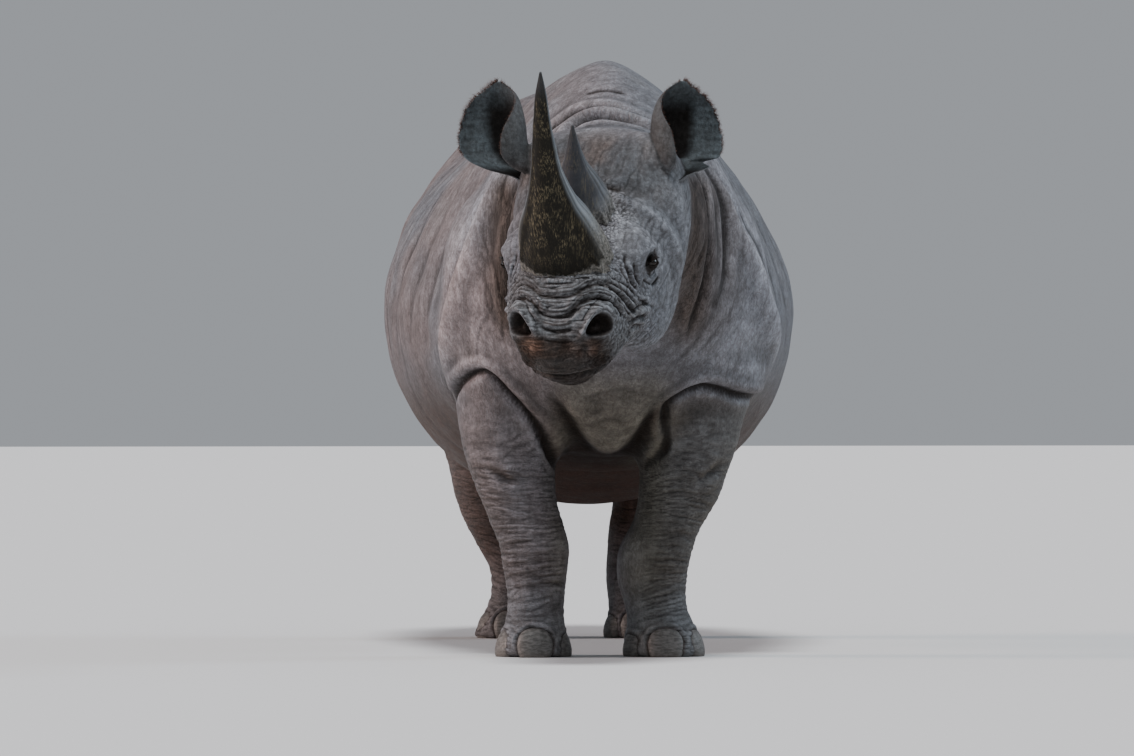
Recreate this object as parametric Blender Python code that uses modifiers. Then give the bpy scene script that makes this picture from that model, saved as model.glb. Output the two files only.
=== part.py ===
"""Black rhinoceros, a still life-size model. Metres, +Z up. The animal faces -Y and its left side is +X.

The flesh is modelled whole from lofted forms, blended into one body, and then parted with thin cuts into trunk,
neck, head and legs. Ears, horns, eyes, nails and tail are separate solids fitted against it. While modelling, the
origin is on the floor between the front feet; at the end the whole moves so that its box stands centred on it.
"""

import math

import bmesh
import bpy
import numpy as np
from mathutils import Matrix, Vector

# Fits and mesh density
GAP = 0.0004  # air between neighbouring solids
SEAT_GAP = 0.0012  # air below horns, ears and tail, which sit on the curved skin
VOXEL = 0.016  # cell of the blend that joins the forms
HEAD_TRIANGLES = 1250  # of the head, before the cuts
REST_TRIANGLES = 2200  # of the rest of the body, before the cuts
RING_POINTS = 36
LOFT_STEP = 0.03

# Driving dimensions of the animal
WITHERS = 1.575
HEAD_TOP = Vector((-0.070, -0.580, 1.376))  # crest of the skull between the ears
HEAD_YAW = math.radians(-18.5)  # turned a little to the animal's right
HEAD_PITCH = math.radians(45)  # nose down
EYE_RADIUS = 0.017
EYE_PLACE = (0.350, 0.190, -0.121)  # along the head, to its side, above its crest line
# Horns: place of the base along the head, length, lean and bow to the animal's left, sweep back,
# length of the base to its width
FRONT_HORN = dict(place=0.432, length=0.500, lean=0.0, bow=-0.014, sweep=0.30, base=0.84)
REAR_HORN = dict(place=0.262, length=0.225, lean=0.075, bow=0.0, sweep=0.30, base=0.95)
EAR_HEIGHT = 0.250
EAR_ROOT = (0.040, 0.180, -0.115)  # along the head, to its side, above its crest line

# Trunk and neck, section by section from the throat to the rump:
# y, middle, half width, top, height of the widest place, bottom, fullness above it and below it
TRUNK = (
    (-0.54, -0.012, 0.150, 1.330, 1.160, 1.020, 2.0, 2.0),
    (-0.48, -0.010, 0.225, 1.385, 1.140, 0.950, 2.1, 2.0),
    (-0.38, -0.006, 0.262, 1.415, 1.110, 0.850, 2.1, 2.0),
    (-0.28, 0.000, 0.298, 1.465, 1.060, 0.735, 2.0, 1.9),
    (-0.18, 0.000, 0.365, 1.520, 0.985, 0.620, 1.8, 1.8),
    (-0.08, 0.000, 0.420, 1.557, 0.910, 0.555, 1.65, 1.7),
    (0.03, 0.003, 0.446, WITHERS, 0.880, 0.528, 1.52, 1.8),
    (0.18, 0.005, 0.462, 1.588, 0.885, 0.520, 1.54, 2.0),
    (0.40, 0.005, 0.503, 1.550, 0.905, 0.470, 1.65, 2.1),
    (0.62, 0.008, 0.538, 1.502, 0.925, 0.415, 1.63, 2.2),
    (0.85, 0.009, 0.554, 1.480, 0.935, 0.385, 1.64, 2.2),
    (1.08, 0.003, 0.540, 1.490, 0.950, 0.420, 1.64, 2.2),
    (1.26, -0.008, 0.510, 1.518, 0.970, 0.510, 1.65, 2.1),
    (1.44, -0.015, 0.482, 1.530, 0.985, 0.640, 1.65, 2.1),
    (1.62, -0.013, 0.435, 1.478, 0.985, 0.730, 1.72, 2.1),
    (1.78, -0.008, 0.350, 1.368, 0.980, 0.790, 1.9, 2.1),
    (1.88, -0.004, 0.235, 1.235, 0.980, 0.830, 2.0, 2.0),
    (1.935, 0.000, 0.110, 1.120, 0.975, 0.880, 2.0, 2.0),
)

# Legs, from below the sole upwards: z, outer edge, inner edge, front edge, back edge.
# The outer and inner edges are distances from the animal's middle plane.
FRONT_LEG_RIGHT = (
    (-0.030, 0.300, 0.096, -0.128, 0.106),
    (0.000, 0.299, 0.098, -0.126, 0.106),
    (0.056, 0.286, 0.108, -0.108, 0.100),
    (0.115, 0.266, 0.112, -0.082, 0.092),
    (0.170, 0.267, 0.110, -0.078, 0.092),
    (0.240, 0.279, 0.101, -0.094, 0.098),
    (0.294, 0.288, 0.098, -0.101, 0.102),
    (0.345, 0.308, 0.112, -0.098, 0.110),
    (0.405, 0.332, 0.130, -0.096, 0.128),
    (0.500, 0.369, 0.135, -0.100, 0.168),
    (0.600, 0.392, 0.125, -0.112, 0.218),
    (0.700, 0.408, 0.115, -0.130, 0.252),
    (0.820, 0.405, 0.110, -0.150, 0.270),
    (0.950, 0.380, 0.120, -0.140, 0.260),
)
FRONT_LEG_LEFT = (
    (-0.030, 0.258, 0.038, -0.126, 0.106),
    (0.000, 0.256, 0.040, -0.124, 0.106),
    (0.056, 0.248, 0.050, -0.106, 0.100),
    (0.114, 0.216, 0.054, -0.082, 0.092),
    (0.151, 0.209, 0.042, -0.078, 0.092),
    (0.194, 0.214, 0.030, -0.084, 0.095),
    (0.250, 0.220, 0.023, -0.098, 0.098),
    (0.289, 0.231, 0.030, -0.101, 0.102),
    (0.324, 0.242, 0.050, -0.099, 0.106),
    (0.371, 0.271, 0.074, -0.096, 0.116),
    (0.420, 0.300, 0.082, -0.096, 0.134),
    (0.500, 0.330, 0.088, -0.100, 0.168),
    (0.600, 0.363, 0.090, -0.112, 0.218),
    (0.700, 0.384, 0.095, -0.130, 0.252),
    (0.820, 0.392, 0.100, -0.150, 0.270),
    (0.950, 0.380, 0.110, -0.140, 0.260),
)
HIND_LEG = (
    (-0.030, 0.285, 0.098, 1.296, 1.512),
    (0.000, 0.283, 0.100, 1.298, 1.512),
    (0.050, 0.252, 0.100, 1.314, 1.506),
    (0.110, 0.230, 0.094, 1.345, 1.506),
    (0.190, 0.227, 0.092, 1.372, 1.524),
    (0.280, 0.276, 0.100, 1.364, 1.556),
    (0.340, 0.307, 0.112, 1.346, 1.588),
    (0.390, 0.325, 0.118, 1.330, 1.604),
    (0.470, 0.338, 0.112, 1.286, 1.640),
    (0.580, 0.378, 0.105, 1.208, 1.728),
    (0.700, 0.416, 0.090, 1.138, 1.826),
    (0.850, 0.438, 0.080, 1.110, 1.876),
    (0.960, 0.428, 0.095, 1.130, 1.838),
    (1.060, 0.400, 0.120, 1.170, 1.750),
)

# Head, from behind the skull to the lip, in its own frame:
# along the head, half width, top, height of the widest place, bottom, fullness above and below
HEAD = (
    (-0.110, 0.120, -0.080, -0.200, -0.300, 2.2, 2.0),
    (-0.060, 0.190, -0.030, -0.200, -0.350, 2.5, 2.0),
    (0.000, 0.222, -0.010, -0.190, -0.385, 2.7, 2.1),
    (0.080, 0.232, -0.014, -0.200, -0.405, 2.5, 2.2),
    (0.180, 0.232, -0.026, -0.210, -0.418, 2.2, 2.4),
    (0.280, 0.216, -0.024, -0.205, -0.412, 2.1, 2.6),
    (0.380, 0.190, -0.012, -0.190, -0.380, 2.2, 2.5),
    (0.470, 0.165, -0.008, -0.175, -0.325, 2.4, 2.3),
    (0.540, 0.148, -0.018, -0.160, -0.290, 2.5, 2.2),
    (0.605, 0.132, -0.042, -0.152, -0.272, 2.4, 2.2),
    (0.652, 0.098, -0.085, -0.160, -0.250, 2.2, 2.0),
    (0.682, 0.050, -0.130, -0.176, -0.220, 2.0, 2.0),
)

# Fleshy swellings of the head, each on both sides where its side distance isn't 0:
# along, side, height; reach along, to the side, up
HEAD_FORMS = (
    (0.345, 0.140, -0.085, 0.085, 0.062, 0.060),  # brow and eye socket
    (0.400, 0.150, -0.190, 0.110, 0.045, 0.060),  # cheekbone
    (0.265, 0.126, -0.296, 0.200, 0.090, 0.130),  # jaw muscle
    (0.585, 0.082, -0.098, 0.070, 0.060, 0.066),  # wing of the nostril
    (0.642, 0.000, -0.176, 0.062, 0.078, 0.058),  # pointed upper lip
    (0.566, 0.000, -0.252, 0.094, 0.082, 0.050),  # lower lip and chin
    (0.470, 0.000, -0.030, 0.125, 0.112, 0.042),  # pad of the front horn
    (0.285, 0.000, -0.034, 0.095, 0.085, 0.036),  # pad of the rear horn
    (0.010, 0.110, -0.066, 0.075, 0.100, 0.056),  # skull crest below each ear
)

# Muscles and folds of the body, on both sides: middle between the two, distance from it, y, z, reach along X, Y, Z
BODY_FORMS = (
    (0.000, 0.275, 0.060, 0.960, 0.165, 0.240, 0.300),  # shoulder
    (-0.012, 0.295, 1.340, 1.040, 0.180, 0.290, 0.245),  # hip
    (0.000, 0.215, 1.120, 0.800, 0.160, 0.140, 0.220),  # flank fold ahead of the thigh
)
SLEEVE = dict(x=0.262, y=0.052, reach_x=0.122, reach_y=0.180, thick=0.048)
SLEEVE_HEIGHT = {-1: 0.772, 1: 0.738}  # right and left, by the sign of X

HORN_ROOT = 0.035  # how far a horn's form starts below the crest line of the head
# Radius at each share of a horn's length, from the root up
FRONT_HORN_RADII = (
    (0.00, 0.120),
    (0.12, 0.113),
    (0.26, 0.0925),
    (0.347, 0.070),
    (0.483, 0.046),
    (0.665, 0.030),
    (0.80, 0.0208),
    (0.915, 0.013),
    (1.00, 0.003),
)
REAR_HORN_RADII = (
    (0.00, 0.092),
    (0.20, 0.084),
    (0.415, 0.0585),
    (0.61, 0.032),
    (0.833, 0.0145),
    (1.00, 0.003),
)

# Ear, from the root up: height share, radius of the cup, shift outwards, and how far its wall goes round
# from the back, in degrees, on the inner side and on the outer side
EAR_ROWS = (
    (0.00, 0.044, 0.000, 165, 150),
    (0.08, 0.066, 0.030, 158, 118),
    (0.20, 0.086, 0.058, 150, 88),
    (0.36, 0.096, 0.072, 140, 72),
    (0.52, 0.097, 0.076, 128, 62),
    (0.68, 0.091, 0.077, 105, 54),
    (0.82, 0.079, 0.075, 76, 44),
    (0.93, 0.063, 0.072, 42, 28),
    (1.00, 0.052, 0.069, 8, 8),
)
EAR_WALL = 0.009

NAIL_ANGLES = (-62, 0, 62)  # round the foot, from straight ahead
NAIL_SIZE = (0.046, 0.020, 0.047)  # half width, half depth, half height of the middle nail

# Tail, from inside the rump down to the tip: y, z, half width, half depth
TAIL = (
    (1.800, 1.270, 0.050, 0.050),
    (1.880, 1.225, 0.050, 0.046),
    (1.945, 1.130, 0.044, 0.040),
    (1.972, 1.000, 0.033, 0.030),
    (1.975, 0.860, 0.024, 0.023),
    (1.968, 0.740, 0.019, 0.021),
    (1.960, 0.660, 0.017, 0.024),
    (1.955, 0.600, 0.009, 0.012),
)

SKIN_COLOUR = (0.165, 0.158, 0.155, 1)
HORN_COLOUR = (0.060, 0.048, 0.034, 1)
NAIL_COLOUR = (0.100, 0.090, 0.078, 1)
EYE_COLOUR = (0.014, 0.008, 0.005, 1)


# ---------------------------------------------------------------- scene and materials


def empty_scene():
    """Removes what a new scene starts with."""
    for item in list(bpy.data.objects):
        bpy.data.objects.remove(item, do_unlink=True)


def new_collection(name):
    made = bpy.data.collections.new(name)
    bpy.context.scene.collection.children.link(made)
    return made


def material(name, colour, roughness):
    """A plain surface with the part's colour."""
    made = bpy.data.materials.new(name)
    made.use_nodes = True
    shader = made.node_tree.nodes["Principled BSDF"]
    shader.inputs["Base Color"].default_value = colour
    shader.inputs["Roughness"].default_value = roughness
    shader.inputs["Metallic"].default_value = 0.0
    return made


def mesh_object(name, mesh, collection):
    made = bpy.data.objects.new(name, mesh)
    collection.objects.link(made)
    return made


def remove(item):
    mesh = item.data
    bpy.data.objects.remove(item, do_unlink=True)
    bpy.data.meshes.remove(mesh)


def bake(item):
    """Replaces the mesh of item by what its modifiers give."""
    graph = bpy.context.evaluated_depsgraph_get()
    mesh = bpy.data.meshes.new_from_object(item.evaluated_get(graph))
    item.modifiers.clear()
    item.data = mesh


# ---------------------------------------------------------------- forms


def smooth_rows(rows, step):
    """Rows read from a smooth curve through the given ones, about step apart in their first number."""
    table = np.array(rows, dtype=float)
    place = table[:, 0]
    slopes = np.gradient(table, place, axis=0)
    result = []
    for start, end, slope0, slope1 in zip(table[:-1], table[1:], slopes[:-1], slopes[1:]):
        width = end[0] - start[0]
        count = max(1, round(width / step))
        for index in range(count):
            t = index / count
            keep = 2 * t**3 - 3 * t**2 + 1
            lift0 = (t**3 - 2 * t**2 + t) * width
            lift1 = (t**3 - t**2) * width
            result.append(keep * start + (1 - keep) * end + lift0 * slope0 + lift1 * slope1)
    result.append(table[-1])
    return result


def section(half, top, wide, bottom, above, below):
    """Closed outline, as (across, up) pairs, with its own fullness above and below the widest place."""
    outline = []
    for index in range(RING_POINTS):
        angle = 2 * math.pi * index / RING_POINTS
        across, up = math.cos(angle), math.sin(angle)
        power = 2 / (above if up >= 0 else below)
        reach = top - wide if up >= 0 else wide - bottom
        x = half * math.copysign(abs(across) ** power, across)
        z = wide + reach * math.copysign(abs(up) ** power, up)
        outline.append((x, z))
    return outline


def loft(name, rings, collection):
    """A closed tube through rings of as many points each."""
    mesh = bmesh.new()
    loops = [[mesh.verts.new(point) for point in ring] for ring in rings]
    for lower, upper in zip(loops[:-1], loops[1:]):
        for index in range(len(lower)):
            after = (index + 1) % len(lower)
            mesh.faces.new((lower[index], lower[after], upper[after], upper[index]))
    mesh.faces.new(loops[0][::-1])
    mesh.faces.new(loops[-1])
    bmesh.ops.recalc_face_normals(mesh, faces=mesh.faces)
    data = bpy.data.meshes.new(name)
    mesh.to_mesh(data)
    mesh.free()
    return mesh_object(name, data, collection)


def ellipsoid(name, matrix, collection, rings=16):
    """A unit sphere taken through matrix."""
    mesh = bmesh.new()
    bmesh.ops.create_uvsphere(mesh, u_segments=rings * 2, v_segments=rings, radius=1, matrix=matrix)
    if matrix.determinant() < 0:
        bmesh.ops.reverse_faces(mesh, faces=mesh.faces)
    data = bpy.data.meshes.new(name)
    mesh.to_mesh(data)
    mesh.free()
    return mesh_object(name, data, collection)


def head_frame():
    """Takes (side, along, up) of the head to the world: side to its left, along to the nose, up from the crest."""
    ahead = Vector((math.sin(HEAD_YAW), -math.cos(HEAD_YAW), 0))
    left = Vector((math.cos(HEAD_YAW), math.sin(HEAD_YAW), 0))
    nose = ahead * math.cos(HEAD_PITCH) - Vector((0, 0, math.sin(HEAD_PITCH)))
    crown = ahead * math.sin(HEAD_PITCH) + Vector((0, 0, math.cos(HEAD_PITCH)))
    turn = Matrix((left, nose, crown)).transposed().to_4x4()
    return Matrix.Translation(HEAD_TOP) @ turn


def head_point(along, side, up):
    return head_frame() @ Vector((side, along, up))


def trunk_form(collection):
    rings = []
    for y, middle, *shape in smooth_rows(TRUNK, LOFT_STEP):
        rings.append([Vector((x + middle, y, z)) for x, z in section(*shape)])
    return loft("trunk_form", rings, collection)


def head_form(collection):
    frame = head_frame()
    rings = []
    for along, *shape in smooth_rows(HEAD, LOFT_STEP):
        rings.append([frame @ Vector((x, along, z)) for x, z in section(*shape)])
    return loft("head_form", rings, collection)


def leg_form(name, rows, side, collection):
    """A leg from its edges at each height. side is 1 on the left and -1 on the right."""
    rings = []
    for z, outer, inner, front, back in smooth_rows(rows, LOFT_STEP):
        middle = Vector((side * (outer + inner) / 2, (front + back) / 2, z))
        half_x = (outer - inner) / 2
        half_y = (back - front) / 2
        outline = section(half_x, half_y, 0, -half_y, 2.25, 2.25)
        rings.append([middle + Vector((x, y, 0)) for x, y in outline])
    return loft(name, rings, collection)


def sleeve_form(side, collection):
    """The thick roll of shoulder skin that the foreleg comes out of."""
    bpy.ops.mesh.primitive_torus_add(
        major_radius=1,
        minor_radius=0.3,
        major_segments=40,
        minor_segments=16,
    )
    ring = bpy.context.object
    minor = SLEEVE["thick"]
    place = Vector((side * SLEEVE["x"], SLEEVE["y"], SLEEVE_HEIGHT[side]))
    for vertex in ring.data.vertices:
        around = Vector((vertex.co.x, vertex.co.y, 0))
        direction = around.normalized()
        swell = (around.length - 1) / 0.3 * minor
        x = direction.x * SLEEVE["reach_x"] + direction.x * swell
        y = direction.y * SLEEVE["reach_y"] + direction.y * swell
        vertex.co = place + Vector((x, y, vertex.co.z / 0.3 * minor))
    for owner in list(ring.users_collection):
        owner.objects.unlink(ring)
    collection.objects.link(ring)
    ring.name = "sleeve_form"
    return ring


def swellings(collection):
    """Muscles and pads over the lofts."""
    forms = []
    for middle, across, y, z, *reach in BODY_FORMS:
        for side in (1, -1):
            place = Matrix.Translation((middle + side * across, y, z))
            forms.append(ellipsoid("muscle_form", place @ Matrix.Diagonal((*reach, 1)), collection))
    frame = head_frame()
    for along, across, up, reach_along, reach_across, reach_up in HEAD_FORMS:
        for side in (1, -1) if across else (1,):
            place = frame @ Matrix.Translation((side * across, along, up))
            size = Matrix.Diagonal((reach_across, reach_along, reach_up, 1))
            forms.append(ellipsoid("head_swelling", place @ size, collection))
    return forms


# ---------------------------------------------------------------- blending and cutting


def join(forms, name, collection):
    """One object holding the meshes of all forms."""
    mesh = bmesh.new()
    for form in forms:
        mesh.from_mesh(form.data)
    data = bpy.data.meshes.new(name)
    mesh.to_mesh(data)
    mesh.free()
    for form in forms:
        remove(form)
    return mesh_object(name, data, collection)


def blended_body(collection):
    """All flesh as one closed skin, with fine faces kept on the head."""
    forms = [trunk_form(collection), head_form(collection)]
    forms.append(leg_form("fore_right", FRONT_LEG_RIGHT, -1, collection))
    forms.append(leg_form("fore_left", FRONT_LEG_LEFT, 1, collection))
    forms.append(leg_form("hind_right", HIND_LEG, -1, collection))
    forms.append(leg_form("hind_left", HIND_LEG, 1, collection))
    forms += [sleeve_form(side, collection) for side in (1, -1)]
    forms += swellings(collection)
    body = join(forms, "body", collection)
    blend = body.modifiers.new("Blend", "REMESH")
    blend.mode = "VOXEL"
    blend.voxel_size = VOXEL
    soften = body.modifiers.new("Soften", "SMOOTH")
    soften.factor = 0.5
    soften.iterations = 9
    bake(body)
    neckline = HEAD_TOP.y + 0.10
    rest = sum(len(face.vertices) - 2 for face in body.data.polygons if face.center.y > neckline)
    thin(body, lambda point: point.y <= neckline, rest + HEAD_TRIANGLES)
    thin(body, lambda point: point.y > neckline, HEAD_TRIANGLES + REST_TRIANGLES)
    return body


def thin(body, chosen, triangles):
    """Collapses faces where chosen says so, until the whole body has about that many triangles."""
    group = body.vertex_groups.new(name="thin")
    group.add([vertex.index for vertex in body.data.vertices if chosen(vertex.co)], 1.0, "REPLACE")
    body.data.calc_loop_triangles()
    step = body.modifiers.new("Thin", "DECIMATE")
    step.ratio = triangles / len(body.data.loop_triangles)
    step.vertex_group = group.name
    bake(body)
    body.vertex_groups.clear()


def boolean(item, cutter, operation):
    """Cuts item in place and keeps the cutter."""
    step = item.modifiers.new("Cut", "BOOLEAN")
    step.operation = operation
    step.object = cutter
    bake(item)


def copy_of(item, name, collection):
    return mesh_object(name, item.data.copy(), collection)


def block(name, low, high, collection, matrix=None):
    """A box between two corners, as a cutter."""
    low, high = Vector(low), Vector(high)
    size = Matrix.Diagonal((*(high - low), 1))
    mesh = bmesh.new()
    bmesh.ops.create_cube(mesh, size=1, matrix=Matrix.Translation((low + high) / 2) @ size)
    if matrix:
        bmesh.ops.transform(mesh, matrix=matrix, verts=mesh.verts)
    data = bpy.data.meshes.new(name)
    mesh.to_mesh(data)
    mesh.free()
    made = mesh_object(name, data, collection)
    made.hide_render = True
    made.display_type = "WIRE"
    return made


def grown(item, distance, name, collection):
    """A copy of item swollen by distance, as a cutter."""
    made = copy_of(item, name, collection)
    swell = made.modifiers.new("Swell", "DISPLACE")
    swell.strength = distance
    swell.mid_level = 0
    bake(made)
    made.hide_render = True
    made.display_type = "WIRE"
    return made


def region(name, centre, reach, extra, collection):
    """An egg-shaped cutter that holds one leg, extra larger on every side."""
    size = Matrix.Diagonal((reach[0] + extra, reach[1] + extra, reach[2] + extra, 1))
    made = ellipsoid(name, Matrix.Translation(centre) @ size, collection, 7)
    made.hide_render = True
    made.display_type = "WIRE"
    return made


def part_by_plane(body, point, normal, front_name, collection, cutters):
    """Splits body at a plane. The piece on the side the normal points to is returned, and body keeps the rest."""
    normal = Vector(normal).normalized()
    turn = Matrix.Translation(point) @ Vector((0, 0, 1)).rotation_difference(normal).to_matrix().to_4x4()
    far = 4
    above = block("cutter_above", (-far, -far, GAP / 2), (far, far, far), cutters, turn)
    below = block("cutter_below", (-far, -far, -far), (far, far, -GAP / 2), cutters, turn)
    front = copy_of(body, front_name, collection)
    boolean(front, above, "INTERSECT")
    boolean(body, below, "INTERSECT")
    return front


# ---------------------------------------------------------------- horns, ears, eyes, nails, tail


def horn(name, spec, radii, collection):
    """A tapering horn on the middle line of the head, swept back towards its tip."""
    frame = head_frame()
    rings = []
    steps = 11
    corners = 16
    for share, radius in smooth_rows(radii, 1 / steps):
        up = -HORN_ROOT + share * (spec["length"] + HORN_ROOT)
        along = spec["place"] - spec["sweep"] * spec["length"] * share**1.7
        side = spec["lean"] * spec["length"] * share + spec["bow"] * math.sin(math.pi * share)
        radius_along = radius * (spec["base"] + (1 - spec["base"]) * share)
        ring = []
        for corner in range(corners):
            angle = 2 * math.pi * corner / corners
            across = side + radius * math.cos(angle)
            ring.append(frame @ Vector((across, along + radius_along * math.sin(angle), up)))
        rings.append(ring)
    return loft(name, rings, collection)


def ear(name, side, facing, spread, collection):
    """A cupped shell, tubular at the root, whose outer side opens lower down.

    facing turns its opening out from straight ahead, in degrees, and spread scales its shift outwards.
    """
    root = head_point(EAR_ROOT[0], side * EAR_ROOT[1], EAR_ROOT[2])
    turn = math.radians(facing)
    opening = Vector((side * math.sin(turn), -math.cos(turn), 0))
    outwards = Vector((side * math.cos(turn), math.sin(turn), 0))
    mesh = bmesh.new()
    columns = 10
    grid = []
    for height, radius, shift, inner, outer in smooth_rows(EAR_ROWS, 0.10):
        centre = root + Vector((side * shift * spread, 0, height * EAR_HEIGHT))
        row = []
        for column in range(columns + 1):
            angle = math.radians(-inner + (inner + outer) * column / columns)
            point = centre - opening * radius * math.cos(angle) + outwards * radius * math.sin(angle)
            row.append(mesh.verts.new(point))
        grid.append(row)
    for lower, upper in zip(grid[:-1], grid[1:]):
        for column in range(columns):
            mesh.faces.new((lower[column], lower[column + 1], upper[column + 1], upper[column]))
    data = bpy.data.meshes.new(name)
    mesh.to_mesh(data)
    mesh.free()
    made = mesh_object(name, data, collection)
    wall = made.modifiers.new("Wall", "SOLIDIFY")
    wall.thickness = EAR_WALL
    wall.offset = 0
    bake(made)
    return made


def eye(name, side, collection):
    """An eyeball, most of it inside its socket."""
    along, across, up = EYE_PLACE
    place = Matrix.Translation(head_point(along, side * across, up))
    return ellipsoid(name, place @ Matrix.Scale(EYE_RADIUS, 4), collection, 6)


def nail(name, foot, reach, angle, collection):
    """One of three broad nails on the front of a foot whose sole is centred at foot."""
    turn = math.radians(angle)
    ahead = Vector((math.sin(turn), -math.cos(turn), 0))
    edge = 1 / math.hypot(math.sin(turn) / reach[0], math.cos(turn) / reach[1])
    half_width, half_depth, half_height = NAIL_SIZE
    if angle:
        half_width *= 0.85
        half_height *= 0.9
    place = Vector((foot[0], foot[1], 0.030)) + ahead * (edge - 0.010)
    lean = Matrix.Rotation(turn, 4, "Z") @ Matrix.Rotation(math.radians(-16), 4, "X")
    size = Matrix.Diagonal((half_width, half_depth, half_height, 1))
    return ellipsoid(name, Matrix.Translation(place) @ lean @ size, collection, 4)


def tail(collection):
    """A hanging tail, flattened front to back at the tip where its bristles grow."""
    corners = 10
    rows = [(index, *row) for index, row in enumerate(TAIL)]
    path = smooth_rows(rows, 0.5)
    rings = []
    for number, (_, y, z, half_x, half_y) in enumerate(path):
        before = path[max(0, number - 1)]
        after = path[min(len(path) - 1, number + 1)]
        run = Vector((0, after[1] - before[1], after[2] - before[2])).normalized()
        depth = Vector((0, -run.z, run.y))
        ring = []
        for corner in range(corners):
            angle = 2 * math.pi * corner / corners
            across = Vector((half_x * math.cos(angle), 0, 0))
            ring.append(Vector((0, y, z)) + across + depth * half_y * math.sin(angle))
        rings.append(ring)
    return loft("tail", rings, collection)


# ---------------------------------------------------------------- assembly


def add_legs(body, parts, cutters):
    """Parts the four legs from the body, each inside an egg-shaped region."""
    regions = {
        "leg_front_right": ((-0.300, 0.030, 0.190), (0.265, 0.310, 0.575)),
        "leg_front_left": ((0.280, 0.030, 0.190), (0.272, 0.310, 0.575)),
        "leg_hind_right": ((-0.305, 1.430, 0.250), (0.290, 0.400, 0.640)),
        "leg_hind_left": ((0.305, 1.430, 0.250), (0.290, 0.400, 0.640)),
    }
    legs = {}
    for name, (centre, reach) in regions.items():
        leg = copy_of(body, name, parts)
        boolean(leg, region("region_" + name, centre, reach, 0, cutters), "INTERSECT")
        boolean(body, region("room_" + name, centre, reach, GAP, cutters), "DIFFERENCE")
        legs[name] = leg
    return legs


def add_nails(legs, parts, cutters):
    """Three nails on each foot, sunk into recesses."""
    soles = {
        "leg_front_right": (FRONT_LEG_RIGHT[2], -1),
        "leg_front_left": (FRONT_LEG_LEFT[2], 1),
        "leg_hind_right": (HIND_LEG[2], -1),
        "leg_hind_left": (HIND_LEG[2], 1),
    }
    below = block("cutter_below_nails", (-2, -2, -1), (2, 3, 0.003), cutters)
    nails = []
    for leg_name, (row, side) in soles.items():
        _, outer, inner, front, back = row
        foot = (side * (outer + inner) / 2, (front + back) / 2)
        reach = ((outer - inner) / 2, (back - front) / 2)
        for number, angle in enumerate(NAIL_ANGLES, 1):
            name = leg_name.replace("leg_", "nail_") + f"_{number}"
            piece = nail(name, foot, reach, angle, parts)
            room = grown(piece, GAP, "room_" + name, cutters)
            boolean(legs[leg_name], room, "DIFFERENCE")
            boolean(piece, below, "DIFFERENCE")
            nails.append(piece)
    return nails


def centre_on_floor(pieces):
    """Moves every piece so that their common box stands centred on the origin."""
    corners = np.array([vertex.co[:] for piece in pieces for vertex in piece.data.vertices])
    low, high = corners.min(axis=0), corners.max(axis=0)
    shift = Matrix.Translation((-(low[0] + high[0]) / 2, -(low[1] + high[1]) / 2, -low[2]))
    for piece in pieces:
        piece.data.transform(shift)


def build():
    empty_scene()
    parts = new_collection("black_rhinoceros")
    cutters = new_collection("cutters")
    body = blended_body(parts)
    below = block("cutter_floor", (-2, -2, -1), (2, 3, 0), cutters)
    boolean(body, below, "DIFFERENCE")
    around = grown(body, SEAT_GAP, "room_body", cutters)

    horns = [
        horn("horn_front", FRONT_HORN, FRONT_HORN_RADII, parts),
        horn("horn_rear", REAR_HORN, REAR_HORN_RADII, parts),
    ]
    ears = [
        ear("ear_right", -1, 26, 1.58, parts),
        ear("ear_left", 1, 12, 0.75, parts),
    ]
    rear_tail = tail(parts)
    for piece in (*horns, *ears, rear_tail):
        boolean(piece, around, "DIFFERENCE")
    boolean(horns[1], grown(horns[0], SEAT_GAP, "room_horn_front", cutters), "DIFFERENCE")

    legs = add_legs(body, parts, cutters)
    nails = add_nails(legs, parts, cutters)
    head = part_by_plane(body, (0, -0.46, 1.20), (-0.10, -0.95, -0.20), "head", parts, cutters)
    neck = part_by_plane(body, (0, -0.17, 1.20), (0, -0.97, 0.22), "neck", parts, cutters)
    body.name = "trunk"
    eyes = []
    for name, side in (("eye_left", 1), ("eye_right", -1)):
        ball = eye(name, side, parts)
        boolean(head, grown(ball, GAP, "room_" + name, cutters), "DIFFERENCE")
        eyes.append(ball)

    flesh = [body, neck, head, rear_tail, *ears, *legs.values()]
    for group, colour, roughness in (
        (flesh, SKIN_COLOUR, 0.8),
        (horns, HORN_COLOUR, 0.5),
        (nails, NAIL_COLOUR, 0.6),
        (eyes, EYE_COLOUR, 0.1),
    ):
        for piece in group:
            piece.data.materials.clear()
            piece.data.materials.append(material(piece.name, colour, roughness))
    centre_on_floor([*flesh, *horns, *nails, *eyes])


build()
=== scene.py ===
"""Looks of the black rhinoceros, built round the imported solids. Metres, +Z up, the animal faces -Y.

One skin stands for all nodes of flesh: their union, smoothed, then sculpted with folds, lids, nostrils and
lips. Horns, eyes and nails stay separate. The ears' fringe, the lashes and the tail's bristles are tufts.
"""

import math

import bmesh
import bpy
import numpy as np
from mathutils import Matrix, Vector
from mathutils.bvhtree import BVHTree
from mathutils.kdtree import KDTree
from numpy.linalg import norm


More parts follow.
